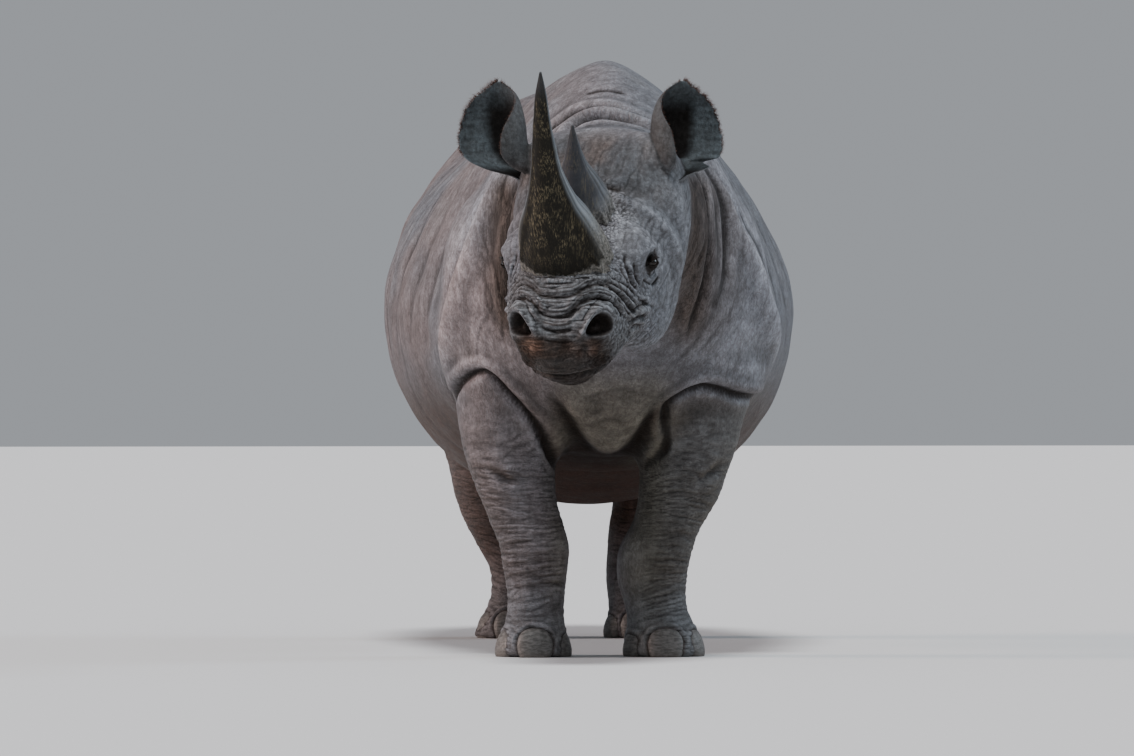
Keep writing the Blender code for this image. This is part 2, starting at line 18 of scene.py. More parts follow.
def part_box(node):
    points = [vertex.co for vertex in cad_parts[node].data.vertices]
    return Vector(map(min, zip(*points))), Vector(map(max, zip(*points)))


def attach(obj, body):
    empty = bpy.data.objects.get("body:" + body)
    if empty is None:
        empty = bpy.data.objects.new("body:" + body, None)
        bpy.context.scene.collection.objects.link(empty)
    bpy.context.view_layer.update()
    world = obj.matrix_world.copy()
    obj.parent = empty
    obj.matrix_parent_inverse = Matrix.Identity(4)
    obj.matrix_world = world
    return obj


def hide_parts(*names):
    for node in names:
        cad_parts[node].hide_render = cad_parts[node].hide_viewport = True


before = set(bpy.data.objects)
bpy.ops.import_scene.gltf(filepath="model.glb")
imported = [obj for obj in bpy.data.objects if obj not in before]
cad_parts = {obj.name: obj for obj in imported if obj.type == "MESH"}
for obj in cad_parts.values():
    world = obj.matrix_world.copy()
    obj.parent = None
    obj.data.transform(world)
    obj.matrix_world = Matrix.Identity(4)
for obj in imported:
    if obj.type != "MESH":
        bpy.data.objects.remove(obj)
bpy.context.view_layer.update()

# ---------------------------------------------------------------- places taken from the frame


def middle(node):
    low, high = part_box(node)
    return (Vector(low) + Vector(high)) / 2


EYE_ALONG, EYE_UP = 0.350, -0.121  # of the eyes from the poll, in the head's axes
HEAD_PITCH = math.radians(45)
EYES = {1: middle("eye_left"), -1: middle("eye_right")}
LEFT = (EYES[1] - EYES[-1]).normalized()
AHEAD = Vector((LEFT.y, -LEFT.x, 0))
NOSE = AHEAD * math.cos(HEAD_PITCH) - Vector((0, 0, math.sin(HEAD_PITCH)))
CROWN = AHEAD * math.sin(HEAD_PITCH) + Vector((0, 0, math.cos(HEAD_PITCH)))
POLL = (EYES[1] + EYES[-1]) / 2 - NOSE * EYE_ALONG - CROWN * EYE_UP
HEAD_AXES = np.array([LEFT, NOSE, CROWN])
FORE_Y = -0.448  # plane of the fore feet
MID_X = -0.0086  # middle plane of the trunk
LEG_CENTRES = ((-0.309, -0.418), (0.271, -0.418), (-0.314, 0.982), (0.296, 0.982))
LEGS = [f"leg_{end}_{side}" for end in ("front", "hind") for side in ("left", "right")]
FLESH = ("trunk", "neck", "head", "tail", *LEGS)
FEET = [f"{end}_{side}" for end in ("front", "hind") for side in ("right", "left")]
NAILS = [f"nail_{foot}_{n}" for foot in FEET for n in (1, 2, 3)]

# ---------------------------------------------------------------- sizes and lines

VOXEL = 0.0085  # squares of the united skin, before the head and lower legs are refined
# Side, turn of the opening outwards, spread outwards
EARS = {"ear_left": (1, 12, 0.75), "ear_right": (-1, 26, 1.58)}
EAR_HEIGHT = 0.250
EAR_WALL = 0.0042  # half the thickness of an ear in its middle
EAR_ROOT = (0.180, 0.040, -0.115)  # side, along, up in the head's axes
EAR_ROWS = (  # height, radius, shift outwards, then the angles that the cup reaches round inside and outside
    (0.00, 0.044, 0.000, 165, 150),
    (0.08, 0.066, 0.030, 158, 118),
    (0.20, 0.086, 0.058, 150, 88),
    (0.36, 0.096, 0.072, 140, 72),
    (0.52, 0.097, 0.076, 128, 62),
    (0.68, 0.091, 0.077, 105, 54),
    (0.82, 0.079, 0.075, 76, 44),
    (0.93, 0.063, 0.072, 42, 28),
    (1.00, 0.052, 0.069, 8, 8),
)
HORN_ROOT = 0.035  # how far a horn starts below the head's crest line
HORNS = {
    "horn_front": dict(place=0.432, length=0.500, lean=0.0, bow=-0.014, sweep=0.30, base=0.84),
    "horn_rear": dict(place=0.262, length=0.225, lean=0.075, bow=0.0, sweep=0.30, base=0.95),
}
HORN_RADII = {
    "horn_front": ((0, 0.120), (0.12, 0.113), (0.26, 0.0925), (0.347, 0.070), (0.483, 0.046), (0.665, 0.030),
                   (0.80, 0.0208), (0.915, 0.013), (1, 0.003)),
    "horn_rear": ((0, 0.092), (0.20, 0.084), (0.415, 0.0585), (0.61, 0.032), (0.833, 0.0145), (1, 0.003)),
}
# Width and height of the rough skin round each horn
HORN_COLLARS = (("horn_front", 0.016, 0.004), ("horn_rear", 0.030, 0.008))
HORN_COLOURS = {  # worn face, fibres, crust at the root
    "horn_front": ((0.008, 0.007, 0.005), (0.128, 0.142, 0.156), (0.205, 0.196, 0.178)),
    "horn_rear": ((0.040, 0.042, 0.048), (0.080, 0.086, 0.096), (0.205, 0.198, 0.188)),
}
HORN_EDGES = {"horn_front": (0.070, 0.095), "horn_rear": (0.20, 0.42)}  # where the dark worn face begins
NAIL_TURN = {"1": math.radians(-62), "2": 0.0, "3": math.radians(62)}
NAIL_LEAN = math.radians(-16)
NAIL_SIZE = (0.046, 0.020, 0.047)
NAIL_HEIGHT = 0.030
EYE_SIZE = 0.017
EYE_OPEN_WIDE, EYE_OPEN_UP, EYE_OPEN_DOWN = 0.0160, 0.0105, 0.0090
LID = 0.0030  # thickness of the lids
LID_TILT = math.radians(20)  # how far the inner corner lies below the outer one

# Rear edges of the shoulders, from the withers down, and the second fold on the left
SHOULDERS = (
    ((-0.19, -0.63, 1.40), (-0.27, -0.64, 1.30), (-0.327, -0.637, 1.195), (-0.360, -0.616, 1.116),
     (-0.393, -0.583, 1.024), (-0.417, -0.546, 0.944), (-0.433, -0.493, 0.878), (-0.430, -0.444, 0.811),
     (-0.42, -0.38, 0.73), (-0.41, -0.33, 0.67)),
    ((0.16, -0.72, 1.39), (0.231, -0.750, 1.281), (0.276, -0.718, 1.195), (0.320, -0.662, 1.116),
     (0.364, -0.602, 1.045), (0.398, -0.543, 0.957), (0.427, -0.456, 0.864), (0.44, -0.40, 0.79),
     (0.44, -0.36, 0.73), (0.43, -0.31, 0.66)),
)
SHOULDER_SECOND = ((0.17, -0.62, 1.42), (0.27, -0.64, 1.28), (0.339, -0.595, 1.155), (0.384, -0.528, 1.076),
                   (0.415, -0.470, 0.98), (0.43, -0.42, 0.90))
BEHIND_SHOULDER = np.array((0.0, 0.065, 0.0))
# Folds of both sides: width, depth, then distance from the middle plane, y and z
SIDE_FOLDS = (
    (0.032, 0.010,
     ((0.36, 0.52, 1.12), (0.42, 0.56, 1.00), (0.44, 0.61, 0.88), (0.42, 0.66, 0.76), (0.36, 0.70, 0.66))),
    (0.024, 0.005, ((0.38, 0.44, 1.00), (0.43, 0.50, 0.88), (0.42, 0.56, 0.76), (0.36, 0.60, 0.67))),
    (0.018, 0.014, ((0.44, -0.26, 0.76), (0.40, -0.22, 0.68), (0.32, -0.20, 0.60), (0.22, -0.20, 0.55))),
    (0.026, 0.006, ((0.33, -0.30, 1.30), (0.43, -0.26, 1.10), (0.47, -0.20, 0.92), (0.44, -0.12, 0.74))),
    (0.028, 0.005, ((0.31, -0.12, 1.32), (0.45, -0.08, 1.10), (0.50, -0.02, 0.90), (0.45, 0.05, 0.70))),
    (0.028, 0.005, ((0.30, 0.08, 1.33), (0.45, 0.12, 1.12), (0.52, 0.18, 0.92), (0.47, 0.22, 0.72))),
    (0.026, 0.005, ((0.32, 0.30, 1.30), (0.46, 0.34, 1.10), (0.52, 0.38, 0.92), (0.47, 0.42, 0.74))),
    (0.018, 0.010, ((0.05, 1.36, 1.24), (0.10, 1.38, 1.12), (0.12, 1.38, 0.98), (0.10, 1.34, 0.84))),
    (0.020, 0.008, ((0.30, 0.98, 1.24), (0.38, 0.92, 1.10), (0.41, 0.90, 0.96), (0.40, 0.92, 0.82))),
    (0.012, 0.009, ((0.36, -0.53, 0.50), (0.33, -0.60, 0.47), (0.27, -0.60, 0.46), (0.22, -0.55, 0.48))),
)
# Arches where the shoulder's skin hangs over each foreleg
ARCHES = (
    ((-0.43, -0.32, 0.66), (-0.415, -0.43, 0.70), (-0.388, -0.53, 0.740), (-0.359, -0.58, 0.752),
     (-0.327, -0.59, 0.742), (-0.287, -0.583, 0.707), (-0.247, -0.576, 0.665), (-0.206, -0.554, 0.614),
     (-0.165, -0.51, 0.545), (-0.13, -0.43, 0.49)),
    ((0.145, -0.44, 0.50), (0.142, -0.52, 0.55), (0.143, -0.59, 0.61), (0.150, -0.62, 0.665),
     (0.185, -0.625, 0.697), (0.226, -0.616, 0.712), (0.267, -0.60, 0.706), (0.323, -0.56, 0.690),
     (0.385, -0.48, 0.675), (0.43, -0.35, 0.655)),
)
# Other folds of the body: width, depth, roll above and below, then named settings and the points
BODY_FOLDS = (
    # edges of the brisket's wedge between the forelegs, from the throat down
    (0.028, 0.018, 0.004, 0.0, dict(roll=2.2, ends=0.35),
     ((-0.20, -0.667, 0.74), (-0.156, -0.631, 0.668), (-0.115, -0.571, 0.601), (-0.069, -0.472, 0.547),
      (-0.03, -0.36, 0.520))),
    (0.028, 0.018, 0.0, 0.004, dict(roll=2.2, ends=0.35),
     ((0.155, -0.66, 0.72), (0.122, -0.626, 0.655), (0.092, -0.572, 0.601), (0.062, -0.478, 0.547),
      (0.02, -0.36, 0.520))),
    # across the nape behind the skull, from right to left
    (0.012, 0.032, 0.018, 0.0072, {},
     ((-0.235, -0.80, 1.30), (-0.175, -0.86, 1.385), (-0.116, -0.81, 1.406), (-0.052, -0.80, 1.417),
      (0.012, -0.82, 1.409), (0.075, -0.85, 1.375), (0.14, -0.86, 1.31))),
    (0.011, 0.014, 0.007, 0.0028, {},
     ((-0.21, -0.70, 1.37), (-0.152, -0.722, 1.412), (-0.099, -0.726, 1.438), (-0.035, -0.749, 1.444),
      (0.041, -0.782, 1.422), (0.11, -0.79, 1.36))),
    (0.008, 0.004, 0.001, 0.0004, {}, ((-0.09, -0.66, 1.485), (-0.029, -0.667, 1.495), (0.03, -0.69, 1.487))),
    # down the sides of the neck
    (0.014, 0.012, 0.005, 0.005, dict(dark=0.7),
     ((0.15, -0.85, 1.32), (0.215, -0.845, 1.23), (0.24, -0.85, 1.12), (0.235, -0.82, 0.98),
      (0.19, -0.76, 0.84))),
    (0.014, 0.012, 0.005, 0.005, dict(dark=0.7),
     ((0.19, -0.77, 1.32), (0.26, -0.75, 1.20), (0.28, -0.73, 1.08), (0.26, -0.71, 0.95))),
    (0.014, 0.012, 0.005, 0.005, dict(dark=0.7),
     ((-0.22, -0.78, 1.33), (-0.285, -0.75, 1.24), (-0.305, -0.76, 1.12), (-0.295, -0.73, 0.96),
      (-0.24, -0.70, 0.83))),
)

# Lines of the muzzle as side distance and height; the waves run from the middle line outwards
WAVE_HIGH = ((0.000, 0.956), (0.040, 0.959), (0.055, 0.968), (0.069, 0.979), (0.082, 0.985), (0.098, 0.988),
             (0.113, 0.985), (0.125, 0.977), (0.138, 0.965), (0.149, 0.946), (0.159, 0.925), (0.168, 0.905))
WAVE_LOW = ((0.000, 0.904), (0.024, 0.907), (0.041, 0.916), (0.050, 0.928), (0.060, 0.940), (0.075, 0.948),
            (0.091, 0.953), (0.107, 0.952), (0.122, 0.946), (0.134, 0.933), (0.143, 0.916), (0.150, 0.898))
MUZZLE_LINES = (  # width, depth, roll above and below, points
    (0.0045, 0.0045, 0.002, 0.002,
     ((0.050, 0.917), (0.062, 0.928), (0.080, 0.935), (0.098, 0.937), (0.114, 0.934), (0.128, 0.923))),
    (0.0065, 0.006, 0.0030, 0.0024,
     ((-0.045, 0.889), (-0.029, 0.875), (-0.008, 0.870), (0.012, 0.868), (0.031, 0.871), (0.049, 0.877))),
    (0.004, 0.0028, 0.0014, 0.00112,
     ((-0.046, 0.903), (-0.028, 0.891), (0.000, 0.885), (0.028, 0.886), (0.050, 0.896))),
    (0.004, 0.003, 0.0015, 0.0012, ((-0.038, 0.847), (0.001, 0.841), (0.042, 0.840))),
    (0.004, 0.0035, 0.00175, 0.0014, ((-0.045, 0.989), (0.000, 0.991), (0.048, 0.992))),
    (0.003, 0.002, 0.0010, 0.0008, ((0.028, 1.001), (0.055, 1.004), (0.082, 1.007))),
)
# Lines from the wings of the nostrils up and back over both cheeks, after their depths
CHEEK_LINES = (
    (0.0042, ((0.100, 0.998), (0.128, 0.987), (0.149, 0.968), (0.164, 0.943), (0.178, 0.918))),
    (0.0042, ((0.112, 1.007), (0.140, 0.993), (0.162, 0.971), (0.178, 0.946), (0.192, 0.924))),
    (0.0042, ((0.132, 0.956), (0.146, 0.935), (0.156, 0.913), (0.163, 0.895))),
    (0.0036, ((0.136, 1.046), (0.140, 1.020), (0.156, 0.985))),
    (0.0036, ((0.150, 1.044), (0.157, 1.000), (0.171, 0.970))),
    (0.0036, ((0.143, 1.070), (0.148, 1.030), (0.163, 0.990))),
    (0.0036, ((0.166, 1.050), (0.168, 1.010), (0.176, 0.982))),
)
NOSTRILS = {1: (0.117, 0.884), -1: (0.107, 0.885)}  # by side of the face: side distance, height
NOSTRIL_WIDE, NOSTRIL_TALL = 0.041, 0.0285
NOSTRIL_TILT = math.radians(22)  # the inner end lies lower
# In the head's axes: half of the mouth's line, and the folds round each corner of it
MOUTH = ((0.000, 0.684, -0.180), (0.045, 0.672, -0.188), (0.085, 0.630, -0.206), (0.115, 0.575, -0.222),
         (0.138, 0.525, -0.228), (0.152, 0.485, -0.222))
MOUTH_CORNER = (
    ((0.148, 0.515, -0.185), (0.160, 0.490, -0.200), (0.160, 0.470, -0.225), (0.148, 0.470, -0.245)),
    ((0.150, 0.530, -0.165), (0.166, 0.490, -0.178), (0.170, 0.455, -0.205), (0.160, 0.450, -0.240)),
    ((0.158, 0.500, -0.150), (0.176, 0.465, -0.160), (0.182, 0.430, -0.190)),
)
# Ridge from the rear horn over the temple and down behind the eye, in the head's axes
TEMPLE = ((0.060, 0.215, -0.020), (0.091, 0.205, -0.036), (0.131, 0.204, -0.056), (0.165, 0.207, -0.078),
          (0.190, 0.214, -0.104), (0.209, 0.218, -0.136), (0.220, 0.221, -0.181), (0.222, 0.222, -0.234),
          (0.215, 0.235, -0.290))
EYE_LINES = (  # fold below each eye, trough behind it, fold before it: width, depth, rolls, points
    (0.004, 0.005, 0.003, 0.002, ((0.175, 0.385, -0.170), (0.186, 0.365, -0.178), (0.194, 0.340, -0.180))),
    (0.010, 0.004, 0.0, 0.004,
     ((0.170, 0.30, -0.055), (0.196, 0.295, -0.085), (0.212, 0.305, -0.120), (0.214, 0.33, -0.150))),
    (0.004, 0.003, 0.002, 0.002, ((0.165, 0.405, -0.125), (0.180, 0.395, -0.145), (0.186, 0.385, -0.165))),
)

GREY = np.array((0.140, 0.153, 0.174))
WARM_GREY = np.array((0.186, 0.158, 0.158))
PALE = np.array((0.300, 0.310, 0.325))
DARK = np.array((0.050, 0.037, 0.030))
EAR_LINING = np.array((0.074, 0.092, 0.101))
RED_BROWN = np.array((0.060, 0.036, 0.028))
OLIVE = np.array((0.165, 0.155, 0.118))
BLUE_GREY = np.array((0.165, 0.180, 0.195))
SLATE = np.array((0.120, 0.128, 0.130))
BROWN = np.array((0.120, 0.088, 0.072))
# near black: wet skin of the lip, and painted shade in the nostrils, round the eyes and in the ears' slits
WET_AND_SHADE_BLACK = np.array((0.018, 0.015, 0.013))
FLESH_PINK = np.array((0.300, 0.190, 0.140))
EYE_WHITE = np.array((0.030, 0.020, 0.016))
EYE_RIM = np.array((0.012, 0.008, 0.006))
IRIS = np.array((0.010, 0.005, 0.003))
PUPIL = np.array((0.002, 0.002, 0.002))

# ---------------------------------------------------------------- numbers


def to_head(points):
    """Side (to the animal's left), along (to the nose) and up of points, from the poll."""
    return (points - np.array(POLL)) @ HEAD_AXES.T


def from_head(side, along, up):
    return POLL + LEFT * side + NOSE * along + CROWN * up


def ramp(low, high, value):
    """From 0 to 1, smoothly, while value goes from low to high."""
    t = np.clip((value - low) / (high - low), 0, 1)
    return t * t * (3 - 2 * t)


def bell(value):
    return np.exp(-(value**2))


def unit(rows):
    rows = np.array(rows, dtype=float)
    return rows / norm(rows, axis=-1, keepdims=True)


def hashed(cell, seed):
    """A repeatable number from 0 to 1 for each whole-numbered cell."""
    x, y, z = cell.T
    n = x * 374761393 + y * 668265263 + z * 1440662683 + seed * 1274126177
    n = (n ^ (n >> 13)) * 1274126177
    n = n ^ (n >> 16)
    return (n & 0xFFFFFF) / 0xFFFFFF


def noise(points, size, seed=0, octaves=1):
    """Smooth noise from -1 to 1 whose features are about size across. size may differ along X, Y and Z."""
    total = np.zeros(len(points))
    weight, weights = 1.0, 0.0
    place = points / np.array(size)
    for octave in range(octaves):
        cell = np.floor(place)
        f = place - cell
        f = f * f * (3 - 2 * f)
        cell = cell.astype(np.int64)
        value = np.zeros(len(points))
        for corner in np.ndindex(2, 2, 2):
            share = np.prod(np.where(corner, f, 1 - f), axis=1)
            value += share * hashed(cell + np.array(corner), seed + 17 * octave)
        total += weight * (2 * value - 1)
        weights += weight
        weight *= 0.5
        place = place * 2.03 + 7.1
    return total / weights


def creased(points, size, seed=0, octaves=2):
    """Rounded swells from 0 to 1 with sharp valleys between them."""
    return 1 - bell(noise(points, size, seed, octaves) * 4.5)


def cells(points, size, seed=0):
    """How far each point is from the border of its cell, 0 at a border, in a packing of cells size across."""
    place = points / np.array(size)
    home = np.floor(place).astype(np.int64)
    first, second = np.full((2, len(points)), 9.0)
    for offset in np.ndindex(3, 3, 3):
        cell = home + np.array(offset) - 1
        seat = cell + 0.15 + 0.7 * np.stack([hashed(cell, seed + axis) for axis in range(3)], axis=1)
        far = norm(seat - place, axis=1)
        second = np.minimum(second, np.maximum(first, far))
        first = np.minimum(first, far)
    return second - first


def between(start, end, slope0, slope1, t):
    """A smooth curve from start to end with the given slopes at its ends."""
    keep = 2 * t**3 - 3 * t**2 + 1
    return keep * start + (1 - keep) * end + (t**3 - 2 * t**2 + t) * slope0 + (t**3 - t**2) * slope1


def table_at(table, shares):
    """The columns of a table at the given values of its first one, on smooth curves."""
    table = np.array(table, dtype=float)
    steps = table[:, 0]
    slopes = np.gradient(table, steps, axis=0)
    index = np.clip(np.searchsorted(steps, shares, side="right") - 1, 0, len(steps) - 2)
    width = (steps[index + 1] - steps[index])[:, None]
    t = np.clip((shares - steps[index])[:, None] / width, 0, 1)
    return between(table[index], table[index + 1], slopes[index] * width, slopes[index + 1] * width, t).T


def smooth_path(points, step=0.006):
    """Points about step apart on a smooth curve through the given ones."""
    points = np.array(points, dtype=float)
    slopes = np.gradient(points, axis=0)
    result = []
    for start, end, slope0, slope1 in zip(points[:-1], points[1:], slopes[:-1], slopes[1:]):
        count = max(2, int(norm(end - start) / step))
        result.append(between(start, end, slope0, slope1, np.arange(count)[:, None] / count))
    return np.vstack([*result, points[-1:]])


def mirrored(pairs):
    """Both halves of a line that starts on the middle line, from right to left."""
    return [(-side, *rest) for side, *rest in pairs[:0:-1]] + list(pairs)


# ---------------------------------------------------------------- meshes


def read(items, field, width, kind=float):
    found = np.empty(len(items) * width, dtype=kind)
    items.foreach_get(field, found)
    return found.reshape(-1, width)


def get_points(mesh):
    return read(mesh.vertices, "co", 3)


def get_edges(mesh):
    return read(mesh.edges, "vertices", 2, np.int32)


def get_normals(mesh):
    return read(mesh.vertex_normals, "vector", 3)


def set_points(mesh, points):
    mesh.vertices.foreach_set("co", points.ravel())
    mesh.update()


def new_object(name, data):
    made = bpy.data.objects.new(name, data)
    bpy.context.scene.collection.objects.link(made)
    return made


def bake_modifiers(item):
    graph = bpy.context.evaluated_depsgraph_get()
    mesh = bpy.data.meshes.new_from_object(item.evaluated_get(graph))
    item.modifiers.clear()
    item.data = mesh


def blurred(values, edges, share, rounds):
    """values averaged with their neighbours' along the edges, rounds times over."""
    count = len(values)
    one, two = edges[:, 0], edges[:, 1]
    degree = np.maximum(np.bincount(one, minlength=count) + np.bincount(two, minlength=count), 1)
    columns = values.reshape(count, -1).T.copy()
    for _ in range(rounds):
        for column in columns:
            total = np.bincount(one, column[two], count) + np.bincount(two, column[one], count)
            column += share * (total / degree - column)
    return columns.T.reshape(values.shape)


def local_blur(points, edges, weight, rounds):
    """Smooths the points that have a weight, each by its own share."""
    wide = weight > 0
    wide[edges[wide[edges].any(axis=1)].ravel()] = True
    index = np.cumsum(wide) - 1
    part = index[edges[wide[edges].all(axis=1)]]
    moving, share = points[wide], weight[wide]
    for _ in range(rounds):
        moving = moving + share[:, None] * (blurred(moving, part, 0.6, 1) - moving)
    result = points.copy()
    result[wide] = moving
    return result


def refined(item, chosen):
    """Splits in four each face whose middle is chosen."""
    flags = chosen(read(item.data.polygons, "center", 3))
    mesh = bmesh.new()
    mesh.from_mesh(item.data)
    edges = {edge for face, use in zip(mesh.faces, flags) if use for edge in face.edges}
    bmesh.ops.subdivide_edges(mesh, edges=list(edges), cuts=1, use_grid_fill=True)
    mesh.to_mesh(item.data)
    mesh.free()


def loft(name, rings):
    """A closed mesh through rings of points."""
    rows, columns, _ = rings.shape
    index = np.arange(rows * columns).reshape(rows, columns)
    turned = np.roll(index, -1, axis=1)
    quads = np.stack([index[:-1], turned[:-1], turned[1:], index[1:]], axis=-1).reshape(-1, 4)
    ends = [index[0, ::-1].tolist(), index[-1].tolist()]
    data = bpy.data.meshes.new(name)
    data.from_pydata(rings.reshape(-1, 3).tolist(), [], quads.tolist() + ends)
    mesh = bmesh.new()
    mesh.from_mesh(data)
    bmesh.ops.recalc_face_normals(mesh, faces=mesh.faces)
    bmesh.ops.triangulate(mesh, faces=[face for face in mesh.faces if len(face.verts) > 4])
    mesh.to_mesh(data)
    mesh.free()
    return new_object(name, data)


def keep_colour(made, name, colours):
    layer = made.data.attributes.new(name, "FLOAT_COLOR", "POINT")
    rows = np.concatenate([np.clip(colours, 0, 1), np.ones((len(colours), 1))], axis=1)
    layer.data.foreach_set("color", rows.astype(np.float32).ravel())


def keep_values(made, **named):
    for name, values in named.items():
        layer = made.data.attributes.new(name, "FLOAT", "POINT")
        layer.data.foreach_set("value", values.astype(np.float32).ravel())


def finish_piece(made, material, slot, *nodes):
    made.data.materials.clear()
    made.data.materials.append(material)
    made.data.polygons.foreach_set("use_smooth", np.ones(len(made.data.polygons), dtype=bool))
    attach(made, "root")
    if nodes:
        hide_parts(*nodes)
    return made


# ---------------------------------------------------------------- skin: the smooth body


def united():
    """All flesh, the eyes and the nails as one closed surface of small squares."""
    mesh = bmesh.new()
    for name in (*FLESH, "eye_left", "eye_right", *NAILS):
        mesh.from_mesh(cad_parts[name].data)
    bmesh.ops.remove_doubles(mesh, verts=mesh.verts, dist=0.00001)
    data = bpy.data.meshes.new("skin")
    mesh.to_mesh(data)
    mesh.free()
    item = new_object("skin", data)
    blend = item.modifiers.new("Blend", "REMESH")
    blend.mode = "VOXEL"
    blend.voxel_size = VOXEL
    bake_modifiers(item)
    return item


def smooth_body(mesh):
    """Takes the facets of the solids out, most on the trunk and least on the face, without shrinking."""
    points, edges = get_points(mesh), get_edges(mesh)
    y, z = points[:, 1], points[:, 2]
    head = ramp(-0.15, 0.0, to_head(points)[:, 1]) * (y < FORE_Y - 0.30)
    leg = ramp(0.75, 0.55, z) * (1 - head)
    tail = ramp(1.38, 1.42, y)
    share = np.clip(0.5 - 0.38 * head - 0.25 * leg - 0.3 * tail, 0.06, 0.5)
    once = blurred(points, edges, share, 90)
    # what the first smoothing took off is smoothed too and put back
    set_points(mesh, once + blurred(points - once, edges, share, 90))


def on_head(points):
    return (to_head(points)[:, 1] > 0.02) & (points[:, 1] < FORE_Y - 0.36)


def on_head_or_lower_legs(points):
    return on_head(points) | (points[:, 2] < 0.50)


def on_face(points):
    return on_head(points) & (to_head(points)[:, 1] > 0.30)


def near_eyes(points):
    return np.minimum(*[norm(points - np.array(eye), axis=1) for eye in EYES.values()]) < 0.050


# ---------------------------------------------------------------- ears


def ear_root(name):
    return np.array(from_head(EARS[name][0] * EAR_ROOT[0], *EAR_ROOT[1:]))


def ear_sheet(name, shares, columns):
    """The middle surface of an ear and its normals, as grids over height and over the way round the cup."""
    side, facing, spread = EARS[name]
    turn = math.radians(facing)
    opening = np.array((side * math.sin(turn), -math.cos(turn), 0))
    outwards = np.array((side * math.cos(turn), math.sin(turn), 0))
    _, radius, shift, inner, outer = table_at(EAR_ROWS, np.clip(shares, 0, 1))
    outer = outer + 1.2 * np.sin(shares * 47) + 0.8 * np.sin(shares * 90 + 1)
    if side > 0:  # the notch and the lobe of the left ear
        outer = outer - 42 * bell((shares - 0.158) / 0.03) + 14 * bell((shares - 0.06) / 0.05)
        outer = outer - 20 * bell((shares - 0.122) / 0.03)
    ways = np.linspace(0, 1, columns)
    angle = np.radians(-inner[:, None] + (inner + outer)[:, None] * ways)
    shift = shift * spread + 1.3 * EAR_HEIGHT * np.minimum(shares, 0)
    centre = ear_root(name) + np.outer(side * shift, (1, 0, 0)) + np.outer(shares * EAR_HEIGHT, (0, 0, 1))
    normal = np.sin(angle)[..., None] * outwards - np.cos(angle)[..., None] * opening
    radius = radius[:, None] * (1 - 0.10 * bell(ways / 0.12) * ramp(0.2, 0.5, shares)[:, None])
    flare = 0.010 * ramp(0.82, 1.0, ways) * (1 - ramp(0.75, 1.0, shares))[:, None]
    return centre[:, None, :] + normal * radius[..., None] + flare[..., None] * outwards, normal


def ear_shell(name):
    """A closed cupped shell, thin at its edges, whose root runs on into the head."""
    rows, columns = 96, 72
    shares = np.linspace(-0.20, 1, rows)
    sheet, normal = ear_sheet(name, shares, columns)
    taper = np.sqrt(np.clip(1 - np.abs(np.linspace(-1, 1, columns)) ** 5, 0.02, 1))
    thick = EAR_WALL * taper * (1.15 - 0.45 * np.clip(shares, 0, 1))[:, None]
    flat = sheet.reshape(-1, 3)
    ripple = 0.0016 * noise(flat, (0.03, 0.03, 0.10), 71) + 0.0030 * noise(flat, 0.055, 72)
    ripple = ripple.reshape(rows, columns)
    outside = sheet + normal * (thick + ripple)[..., None]
    inside = sheet + normal * (ripple - thick)[..., None]
    way = np.concatenate([np.linspace(0, 1, columns), np.linspace(1, 0, columns)])
    within = np.repeat([0.0, 1.0], columns)
    grid = np.stack(np.broadcast_arrays(shares[:, None], way, within), axis=-1).reshape(-1, 3)
    return loft(name + "_shell", np.concatenate([outside, inside[:, ::-1]], axis=1)), grid


def corners_of(mesh):
    """A search tree of a mesh's corners."""
    found = KDTree(len(mesh.vertices))
    for vertex in mesh.vertices:
        found.insert(vertex.co, vertex.index)
    found.balance()
    return found


def join_ears(item):
    """Unites the ears with the skin and softens the join. Gives where the ears are and the place on them."""
    bare = new_object("bare", item.data.copy())
    shells, grids = zip(*(ear_shell(name) for name in EARS))
    graph = bpy.context.evaluated_depsgraph_get()
    trees = [BVHTree.FromObject(shell, graph) for shell in shells]
    seats = [corners_of(shell.data) for shell in shells]
    for shell in shells:
        union = item.modifiers.new("Ear", "BOOLEAN")
        union.operation = "UNION"
        union.solver = "MANIFOLD"
        union.object = shell
    bake_modifiers(item)
    points = get_points(item.data)
    mask, weight = np.zeros((2, len(points)))
    face = np.zeros((len(points), 3))
    bpy.context.view_layer.update()
    for name, tree, seat, grid in zip(EARS, trees, seats, grids):
        for index in np.nonzero(norm(points - ear_root(name), axis=1) < 0.34)[0]:
            place = Vector(points[index])
            to_ear = tree.find_nearest(place, 0.03)[3]
            if to_ear is None:
                continue
            to_skin = (bare.closest_point_on_mesh(place)[1] - place).length
            if to_ear < 0.0002:
                mask[index] = 1
                face[index] = grid[seat.find(place)[1]]
            weight[index] = max(weight[index], float(ramp(0.024, 0.008, max(to_ear, to_skin))))
    for spare in (bare, *shells):
        bpy.data.objects.remove(spare)
    set_points(item.data, local_blur(points, get_edges(item.data), weight, 14))
    return mask, face


# ---------------------------------------------------------------- skin: tools for sculpting


